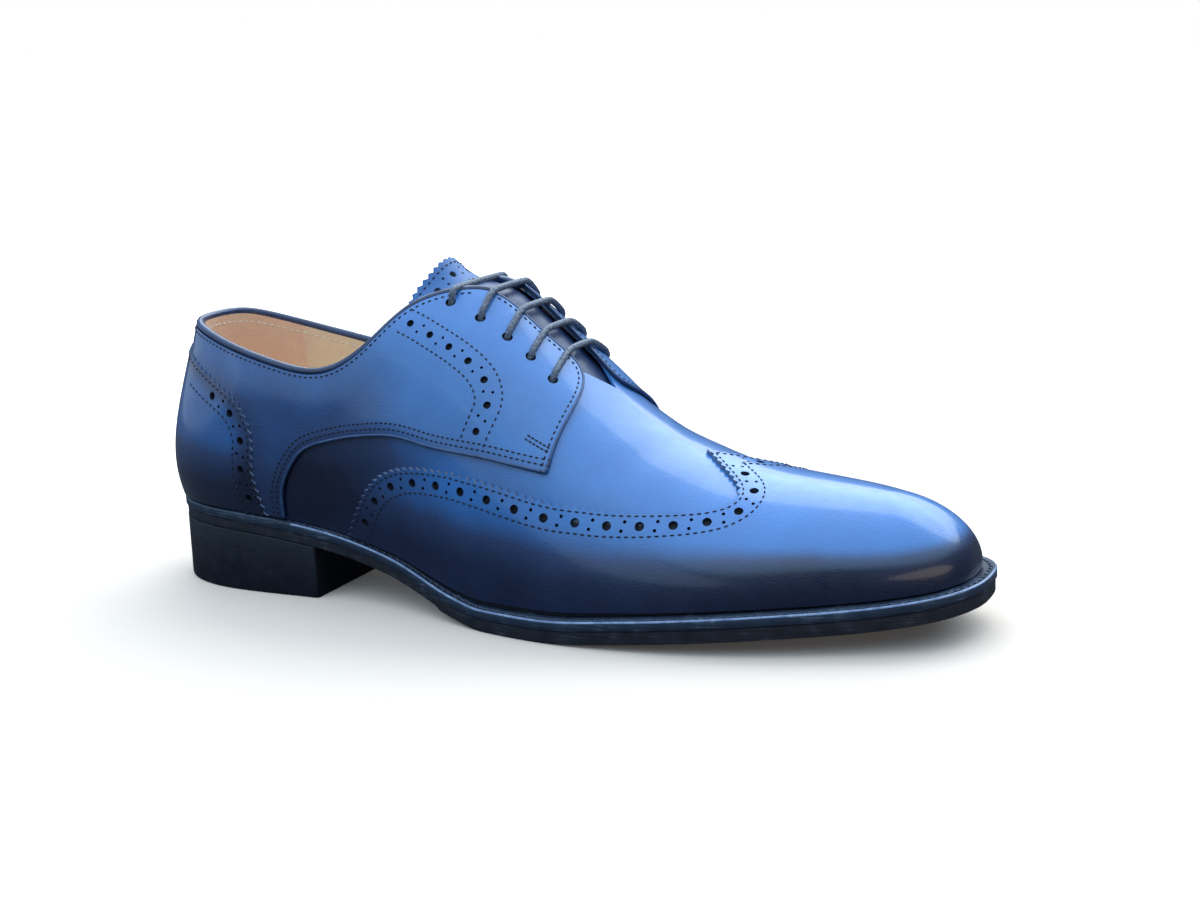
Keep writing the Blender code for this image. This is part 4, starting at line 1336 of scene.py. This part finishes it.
def make_lace():
    """Braided cord along the lace's route, thin where it is hidden."""
    route = lace_route()
    chord = run_lengths(route)
    fine = np.arange(0, chord[-1], LACE_STEP)
    points = np.column_stack([steady(chord, values, fine) for values in route.T])
    shown = [False] + [True] * (len(lace_bar(MEDIAL, 0)) - 2) + [False]
    thick = np.array([False] * EYELETS + shown * EYELETS)
    half = steady(chord, np.where(thick, LACE_RADIUS, LACE_HIDDEN), fine)
    around = np.linspace(0, 2 * np.pi, BRAID_SIDES, endpoint=False) * BRAID_STRANDS
    twist = (2 * np.pi / BRAID_PITCH * fine)[:, None]
    braid = np.maximum(np.cos(around + twist), np.cos(around - twist))
    bm = bmesh.new()
    tube(bm, world(points), (half[:, None] + BRAID_DEPTH * (braid - BRAID_MIDDLE)) * MM, BRAID_SIDES)
    print("lace length", round(run_lengths(points)[-1]), "mm")
    return finish_mesh("lace", bm)


add_piece("lace", make_lace(), [WAXED_LACE], [f"lace_bar_{k}" for k in range(1, EYELETS + 1)])

# %% [markdown]
# ## The welt
# The welt is a leather strip sewn round the foot of the upper. A short profile with a groove near its edge is
# swept round the sole's outline and raised onto the curve of the underside. Its outer top edge carries a
# painted highlight, a bright line from the waist to the toe.

# %% Welt
WELT_LOW, WELT_WIDTH = OUTSOLE_THICK + 0.15, 10.0
EDGE_POINTS = 190
WELT_PROFILE = table(
    "inset height",
    (0.25, WELT_LOW), (0.0, WELT_LOW + 0.25), (0.0, SOLE_EDGE - 0.55), (0.12, SOLE_EDGE - 0.2),
    (0.5, SOLE_EDGE), (1.35, SOLE_EDGE), (1.6, SOLE_EDGE - 0.3), (2.3, SOLE_EDGE - 0.3), (2.55, SOLE_EDGE),
    (WELT_WIDTH, SOLE_EDGE), (WELT_WIDTH, WELT_LOW))
# Rows and start of the painted highlight along the welt's outer top edge.
HIGHLIGHT_ROWS, HIGHLIGHT_START = {2, 3, 4}, 62.0


def sole_loop(inset, height=0.0, inner=False):
    """Closed loop at a height on the flat, moved in from the sole's edge or from the foot of the upper."""
    shares_along = np.linspace(0, 1, EDGE_POINTS, endpoint=False)
    parts = []
    for side, values in ((LATERAL, shares_along), (MEDIAL, 1 - shares_along)):
        edge, normal = outline(side, values)
        foot = column(FEATHER, "inset", values)[:, None] if inner else 0
        parts.append(edge - normal * (inset + foot))
    loop = np.vstack(parts)
    return np.column_stack([loop, np.full(len(loop), height)])


def bent(points):
    """Flat points raised onto the curved underside of the shoe."""
    return points + np.column_stack([0 * points[:, :2], underside(points[:, 0])])


def scratched(name, dark, light, mark, shine):
    """Sole edge finish with fine level scratches."""
    material, shader = finish(name, {"Specular IOR Level": 0.4})
    lines = streaks(material, scale=(60, 60, 2600), detail=3)
    base = clouds(material, scale=160, detail=3, low=0.30, high=0.62)
    colour = ramp(material, combined(material, "MULTIPLY", lines, base),
                  (0.14, dark), (0.45, mark), (0.30, light))
    rough = clouds(material, scale=300, detail=2, low=shine - 0.08, high=shine + 0.1)
    return dress(material, shader, colour, rough, lines, depth=0.0001, strength=0.5)


WELT_EDGE = scratched("welt_edge", (0.026, 0.042, 0.074), (0.050, 0.072, 0.115), (0.24, 0.29, 0.38), 0.36)
# Pale blue painted highlight on the welt's outer top edge.
WELT_HIGHLIGHT = plain("welt_highlight", (0.09, 0.16, 0.32), (0.30, 0.42, 0.64), 260, 0.25, {"Coat Weight": 0.6})


def make_welt():
    """Welt swept round the sole, with the faces of its outer top edge in a second finish, a painted
    highlight.
    """
    loops = [world(bent(sole_loop(*row))) for row in zip(*WELT_PROFILE.values())]
    bm = bmesh.new()
    sweep(bm, loops + loops[:1])
    row = bm.verts.layers.int["row"]
    start = world((HIGHLIGHT_START, 0, 0))[0]
    for face in bm.faces:
        on_edge = {vert[row] for vert in face.verts} <= HIGHLIGHT_ROWS
        face.material_index = int(on_edge and face.verts[0].co.x > start)
    bmesh.ops.remove_doubles(bm, verts=bm.verts[:], dist=MERGE / 10)
    return finish_mesh("welt_strip", bm, sharp=50)


welt = add_piece("welt_strip", make_welt(), [WELT_EDGE, WELT_HIGHLIGHT], ["welt"])
print("welt has", len(welt.data.polygons), "faces")

# %% [markdown]
# The thread that joins welt and sole lies in the groove as a row of slanted stitches.

# %% Welt stitches
WELT_PITCH, WELT_STITCH, WELT_SLANT = 3.1, (1.25, 0.36, 0.32), 0.45
WELT_SEWN_FROM, WELT_SINK = 0.16, 0.15
GROOVE = slice(6, 8)


def make_welt_stitches():
    """Slanted stitches in the groove of the welt, from beside the heel round the toe."""
    inset = WELT_PROFILE["inset"][GROOVE].mean()
    size = Matrix.Diagonal((*(MM * np.array(WELT_STITCH)), 1))
    matrices = []
    for side in BOTH:
        dense = np.linspace(WELT_SEWN_FROM, 1, 800)
        length = run_lengths(outline(side, dense)[0])
        along = np.interp(np.arange(0, length[-1], WELT_PITCH), length, dense)
        for edge, normal in zip(*outline(side, along)):
            spot = edge - normal * inset
            place = world([*spot, underside(spot[0]) + SOLE_EDGE - WELT_SINK])
            ahead = np.array([-normal[1], normal[0]]) * -side
            slant = ahead * np.cos(WELT_SLANT) + normal * np.sin(WELT_SLANT)
            turn = Matrix(((*slant, 0), (-slant[1], slant[0], 0), (0, 0, 1))).transposed().to_4x4()
            matrices.append(Matrix.Translation(place) @ turn @ size)
    return joined_copies("welt_stitches", STITCH, matrices)


WELT_THREAD = plain("welt_thread", (0.03, 0.045, 0.09), (0.08, 0.11, 0.19), 700, 0.5)
sewn = add_piece("welt_stitches", make_welt_stitches(), [WELT_THREAD])
print("the welt has", len(sewn.data.vertices) // len(STITCH.vertices), "stitches")

# %% [markdown]
# ## The sole
# The rubber sole has a plain rim round a recessed forefoot and a smooth raised waist. It is swept flat,
# sliced across, then bent to the arch and the toe spring.

# %% Sole plate
RIM, RECESS = 2.4, 0.45
TREAD_BACK, TREAD_STEP, OUTSOLE_INSET = 128.0, 0.9, 0.5
SOLE_PROFILE = table(
    "inset height",
    (RIM + 0.3, RECESS), (RIM, 0.0), (OUTSOLE_INSET + 0.5, 0.0), (OUTSOLE_INSET + 0.1, 0.15),
    (OUTSOLE_INSET, 0.6), (OUTSOLE_INSET, OUTSOLE_THICK - 0.3), (OUTSOLE_INSET + 0.3, OUTSOLE_THICK))
SLICE, LOW_SIDE = 3.0, 1.0
SOLE_SIDE = scratched("sole_side", (0.018, 0.020, 0.028), (0.034, 0.038, 0.050), (0.17, 0.18, 0.21), 0.5)


def waist_lift(x):
    """How far the smooth waist stands above the tread."""
    return TREAD_STEP * (1 - smoothstep(TREAD_BACK - 2, TREAD_BACK + 1, x))


def make_plate(name, profile, lift=None, inner=False):
    """Flat plate swept from a profile, capped, sliced across and bent. A lift raises its low side."""
    bm = bmesh.new()
    loops = [sole_loop(*row, inner) for row in zip(*profile.values())]
    for end in sweep(bm, loops):
        bmesh.ops.edgeloop_fill(bm, edges=end)
    xs = loops[0][:, 0]
    slice_across(bm, (1, 0, 0), np.arange(xs.min() + SLICE, xs.max(), SLICE))
    for vert in bm.verts:
        low = lift(vert.co.x) if lift and vert.co.z < LOW_SIDE else 0
        vert.co = world((vert.co.x, vert.co.y, vert.co.z + underside(vert.co.x) + low))
    bmesh.ops.triangulate(bm, faces=[face for face in bm.faces if len(face.verts) > 4])
    return finish_mesh(name, bm, sharp=35)


plate = make_plate("sole_plate", SOLE_PROFILE, waist_lift)
sole = add_piece("sole_plate", plate, [SOLE_SIDE], ["outsole"])
print("sole has", len(sole.data.polygons), "faces")

# %% [markdown]
# The forefoot is knurled with small pyramids. They come from a fine grid turned by 45 degrees: every second
# point of every second row is left low, and the grid is trimmed to the rim and closed above.

# %% Tread
KNURL, TREAD_REACH, TREAD_MIDDLE = 0.85, 150, 215
TREAD_INSET, TREAD_START, TREAD_BEND, TREAD_HALF = RIM + 0.35, 3.5, 5.0, 40
PEAK_CLEAR, VALLEY_CLEAR, TREAD_ROOT = 0.02, 0.03, 0.3
RUBBER = plain("sole_rubber", (0.010, 0.013, 0.020), (0.022, 0.027, 0.038), 300, 0.55,
               depth=0.0002, grain=900)


def tread_back(y):
    """Curved line where the tread begins."""
    return TREAD_BACK + TREAD_START - (y / TREAD_HALF) ** 2 * TREAD_BEND


def make_tread():
    """Field of small pyramids on the forefoot, trimmed to the rim."""
    loop = sole_loop(TREAD_INSET)[:, :2]
    bm = bmesh.new()
    cells = int(2 * TREAD_REACH / KNURL)
    turn = Matrix.Translation((TREAD_MIDDLE, 0, 0)) @ Matrix.Rotation(np.radians(45), 4, "Z")
    bmesh.ops.create_grid(bm, x_segments=cells, y_segments=cells, size=TREAD_REACH, matrix=turn)
    step = 2 * TREAD_REACH / cells
    places = np.array([vert.co[:2] for vert in bm.verts])
    kept = inside(places, loop) & (places[:, 0] > tread_back(places[:, 1]))
    local = np.array([(turn.inverted() @ vert.co)[:2] for vert in bm.verts])
    index = np.round((local + TREAD_REACH) / step).astype(int)
    peak = (index % 2 == 0).all(axis=1)
    bm.verts.ensure_lookup_table()
    bmesh.ops.delete(bm, geom=[bm.verts[i] for i in np.flatnonzero(~kept)], context="VERTS")
    for vert, (x, y), high in zip(bm.verts, places[kept], peak[kept]):
        vert.co = world((x, y, underside(x) + (PEAK_CLEAR if high else RECESS - VALLEY_CLEAR)))
    bmesh.ops.delete(bm, geom=[vert for vert in bm.verts if not vert.link_faces], context="VERTS")
    bmesh.ops.triangulate(bm, faces=bm.faces[:], quad_method="LONG_EDGE")
    made = bmesh.ops.extrude_face_region(bm, geom=bm.faces[:], use_keep_orig=True)["geom"]
    for item in made:
        if isinstance(item, bmesh.types.BMVert):
            place = item.co / MM + Vector(MIDDLE)
            item.co.z = (underside(place.x) + RECESS + TREAD_ROOT) * MM
    return finish_mesh("tread_knurl", bm, sharp=20)


tread = add_piece("tread_knurl", make_tread(), [RUBBER])
print("tread has", len(tread.data.polygons), "faces")

# %% [markdown]
# A row of short raised bars marks the line where the smooth waist ends and the tread begins. It is one small
# block, copied along the curve of that line.

# %% Rim of the waist
WAIST_PITCH, WAIST_BAR = 2.3, (2.8, 1.2, 0.9)
WAIST_REACH, WAIST_BACK, WAIST_CLEAR, WAIST_INSET = 45, 1.6, 0.1, TREAD_INSET + 1


def make_waist_rim():
    """Bars along the back edge of the tread, inside the rim of the sole."""
    bm = bmesh.new()
    bmesh.ops.create_cube(bm, size=1)
    block = mesh_from("waist_bar", bm)
    across = np.arange(-WAIST_REACH, WAIST_REACH, WAIST_PITCH)
    spots = np.column_stack([tread_back(across) - WAIST_BACK, across])
    spots = spots[inside(spots, sole_loop(WAIST_INSET)[:, :2])]
    matrices = []
    for x, y in spots:
        turn = Matrix.Rotation(np.arctan(2 * y * TREAD_BEND / TREAD_HALF ** 2), 4, "Z")
        place = Matrix.Translation(world((x, y, underside(x) + WAIST_BAR[2] / 2 + WAIST_CLEAR)))
        matrices.append(place @ turn @ Matrix.Diagonal((*(MM * np.array(WAIST_BAR)), 1)))
    mesh = joined_copies("waist_rim", block, matrices)
    mesh.shade_flat()
    print("the waist rim has", len(matrices), "bars")
    return mesh


add_piece("waist_rim", make_waist_rim(), [RUBBER])

# %% [markdown]
# The heel is one block of rubber under the back of the sole. Its loops follow the sole's outline and close
# along the straight breast. The two upright corners of the breast are bevelled, so that they catch the light.

# %% Heel
HEEL_BREAST, HEEL_ROUND, HEEL_GAP = 73.0, 0.7, 0.15
HEEL_COUNT, HEEL_ACROSS = 70, 16
HEEL_PROFILE = table(
    "inset share rise",
    (0.4, 0, 0.0), (-0.15, 0, 0.25), (-0.3, 0, 0.8), (0.3, 1, -0.5), (0.5, 1, 0.0))
HEEL_RUBBER = scratched("heel_rubber", (0.006, 0.009, 0.016), (0.011, 0.015, 0.024),
                        (0.022, 0.027, 0.036), 0.45)


def heel_loop(inset):
    """Loop round the heel, closed by its straight breast."""
    halves = []
    for side in BOTH:
        points, normals, _ = HALVES[side]
        moved = points - normals * inset
        moved = moved[moved[:, 0] < HEEL_BREAST]
        length = run_lengths(moved)
        halves.append(points_at(np.linspace(0, length[-1], HEEL_COUNT), length, moved))
    lateral, medial = halves
    breast = lateral[-1] + np.linspace(0, 1, HEEL_ACROSS)[1:-1, None] * (medial[-1] - lateral[-1])
    return np.vstack([lateral, breast, medial[:0:-1]])


def make_heel():
    """Heel swept from the floor to the seat, with the upright corners of its breast bevelled."""
    rows = []
    for inset, share, rise in zip(*HEEL_PROFILE.values()):
        loop = heel_loop(inset)
        top = underside(loop[:, 0]) + TREAD_STEP - HEEL_GAP
        rows.append(np.column_stack([loop, share * top + rise]))
    bm = bmesh.new()
    for end in sweep(bm, [world(row) for row in rows]):
        bmesh.ops.edgeloop_fill(bm, edges=end)
    spot = bm.verts.layers.int["spot"]
    corners = {HEEL_COUNT - 1, HEEL_COUNT + HEEL_ACROSS - 2}
    upright = [edge for edge in bm.edges if edge.verts[0][spot] == edge.verts[1][spot] in corners]
    bmesh.ops.bevel(bm, geom=upright, offset=HEEL_ROUND * MM, segments=3, profile=0.5, affect="EDGES",
                    material=-1)
    bmesh.ops.triangulate(bm, faces=[face for face in bm.faces if len(face.verts) > 4])
    return finish_mesh("heel_block", bm, sharp=35)


heel = add_piece("heel_block", make_heel(), [HEEL_RUBBER], ["heel"])
print("heel has", len(heel.data.polygons), "faces")

# %% [markdown]
# The sock is the leather that the foot stands on. It is a thin plate made in the same way as the sole.

# %% Sock
SOCK_PROFILE = table(
    "inset height",
    (2.6, SOLE_EDGE + 0.3), (1.8, SOLE_EDGE + 0.9), (1.8, SOLE_EDGE + 2.4), (2.4, SOLE_EDGE + 2.8))
SOCK = plain("sock_leather", (0.78, 0.54, 0.38), (0.88, 0.64, 0.46), 120, 0.62)
sock = add_piece("sock", make_plate("sock", SOCK_PROFILE, inner=True), [SOCK], ["insole"])
print("sock has", len(sock.data.polygons), "faces")

# %% [markdown]
# ## Floor and light
# The shoe stands on a white floor that runs out of sight into a white background. The leather mirrors a pale
# sky with a dark horizon. A large window behind draws the long highlights on the vamp and the toe, one on
# the left brightens the quarter, and two low cards give the heel and the toe their soft sheen.

# %% Stage
FLOOR_RADIUS, FLOOR_NEAR, FLOOR_FAR, FLOOR_GLOW, FLOOR_BOUNCE = 3.0, 0.16, 0.50, 0.03, 0.06
FLOOR_WHITE = (1.0, 0.83, 0.70, 1)
SKY_POWER = 1.5
SKY = ((0, (0.05, 0.06, 0.08)), (90, (0.78, 0.90, 1.0)), (24, (0.05, 0.08, 0.13)), (31, (0.45, 0.71, 1.0)))


def make_floor():
    """White disc that shines for the camera away from the shoe and is dim in the leather's reflections."""
    bm = bmesh.new()
    bmesh.ops.create_circle(bm, cap_ends=True, segments=64, radius=FLOOR_RADIUS)
    bmesh.ops.reverse_faces(bm, faces=[face for face in bm.faces if face.normal.z < 0])
    mesh = mesh_from("floor", bm)
    floor = bpy.data.objects.new("floor", mesh)
    bpy.context.scene.collection.objects.link(floor)
    white, shader = finish("white_floor", {"Roughness": 0.9, "Emission Color": (1, 1, 1, 1),
                                           "Specular IOR Level": 0.0})
    place = node(white, "TexCoord").outputs["Object"]
    apart = node(white, "VectorMath", {0: place}, operation="LENGTH").outputs["Value"]
    spread = {"Value": apart, "From Min": FLOOR_NEAR, "From Max": FLOOR_FAR,
              "To Min": FLOOR_GLOW, "To Max": 1.0}
    glow = node(white, "MapRange", spread, interpolation_type="SMOOTHSTEP").outputs["Result"]
    seen = node(white, "LightPath").outputs["Is Camera Ray"]
    lit = combined(white, "MULTIPLY", glow, seen)
    dim = (FLOOR_BOUNCE, FLOOR_BOUNCE, FLOOR_BOUNCE, 1)
    pale = node(white, "MixRGB", {"Fac": seen, "Color1": dim, "Color2": FLOOR_WHITE}).outputs["Color"]
    white.node_tree.links.new(lit, shader.inputs["Emission Strength"])
    white.node_tree.links.new(pale, shader.inputs["Base Color"])
    mesh.materials.append(white)


def soft_light(name, place, target, size, power, colour):
    """Elliptical lamp at a place in metres, turned to a target."""
    data = bpy.data.lights.new(name, "AREA")
    data.shape = "ELLIPSE"
    data.size, data.size_y = size
    data.energy = power
    data.color = colour
    lamp = bpy.data.objects.new(name, data)
    lamp.location = place
    lamp.rotation_euler = (Vector(target) - Vector(place)).to_track_quat("-Z", "Y").to_euler()
    bpy.context.scene.collection.objects.link(lamp)


def make_sky():
    """White for the camera. For the leather, a pale blue sky that ends in a dark horizon."""
    sky = bpy.data.worlds.new("sky")
    sky.use_nodes = True
    shown = sky.node_tree.nodes["Background"]
    height = node(sky, "SeparateXYZ", {0: node(sky, "TexCoord").outputs["Generated"]}).outputs["Z"]
    stops = [(np.sin(np.radians(elevation)), colour) for elevation, colour in SKY]
    dome = ramp(sky, height, *stops)
    seen = node(sky, "LightPath").outputs["Is Camera Ray"]
    mix = node(sky, "MixRGB", {"Fac": seen, "Color1": dome, "Color2": (1, 1, 1, 1)})
    sky.node_tree.links.new(mix.outputs["Color"], shown.inputs["Color"])
    power = node(sky, "MapRange", {"Value": seen, "To Min": SKY_POWER, "To Max": 1.0}).outputs["Result"]
    sky.node_tree.links.new(power, shown.inputs["Strength"])
    bpy.context.scene.world = sky


make_floor()
make_sky()
soft_light("back_window", (0.0, 1.0, 1.0), (0.0, 0.0, 0.06), (2.8, 1.4), 21, (0.86, 0.94, 1.0))
soft_light("left_window", (-1.0, -1.7, 0.64), (0.0, 0.0, 0.06), (2.8, 1.0), 5.0, (0.62, 0.82, 1.0))
soft_light("heel_card", (-1.3, -0.1, 0.22), (-0.12, 0.0, 0.05), (1.5, 0.5), 1.2, (0.65, 0.82, 1.0))
soft_light("warm_card", (1.2, -0.55, 0.22), (0.1, 0.0, 0.03), (1.6, 0.36), 1.8, (1.0, 0.85, 0.70))
bpy.context.scene.view_settings.view_transform = "Standard"
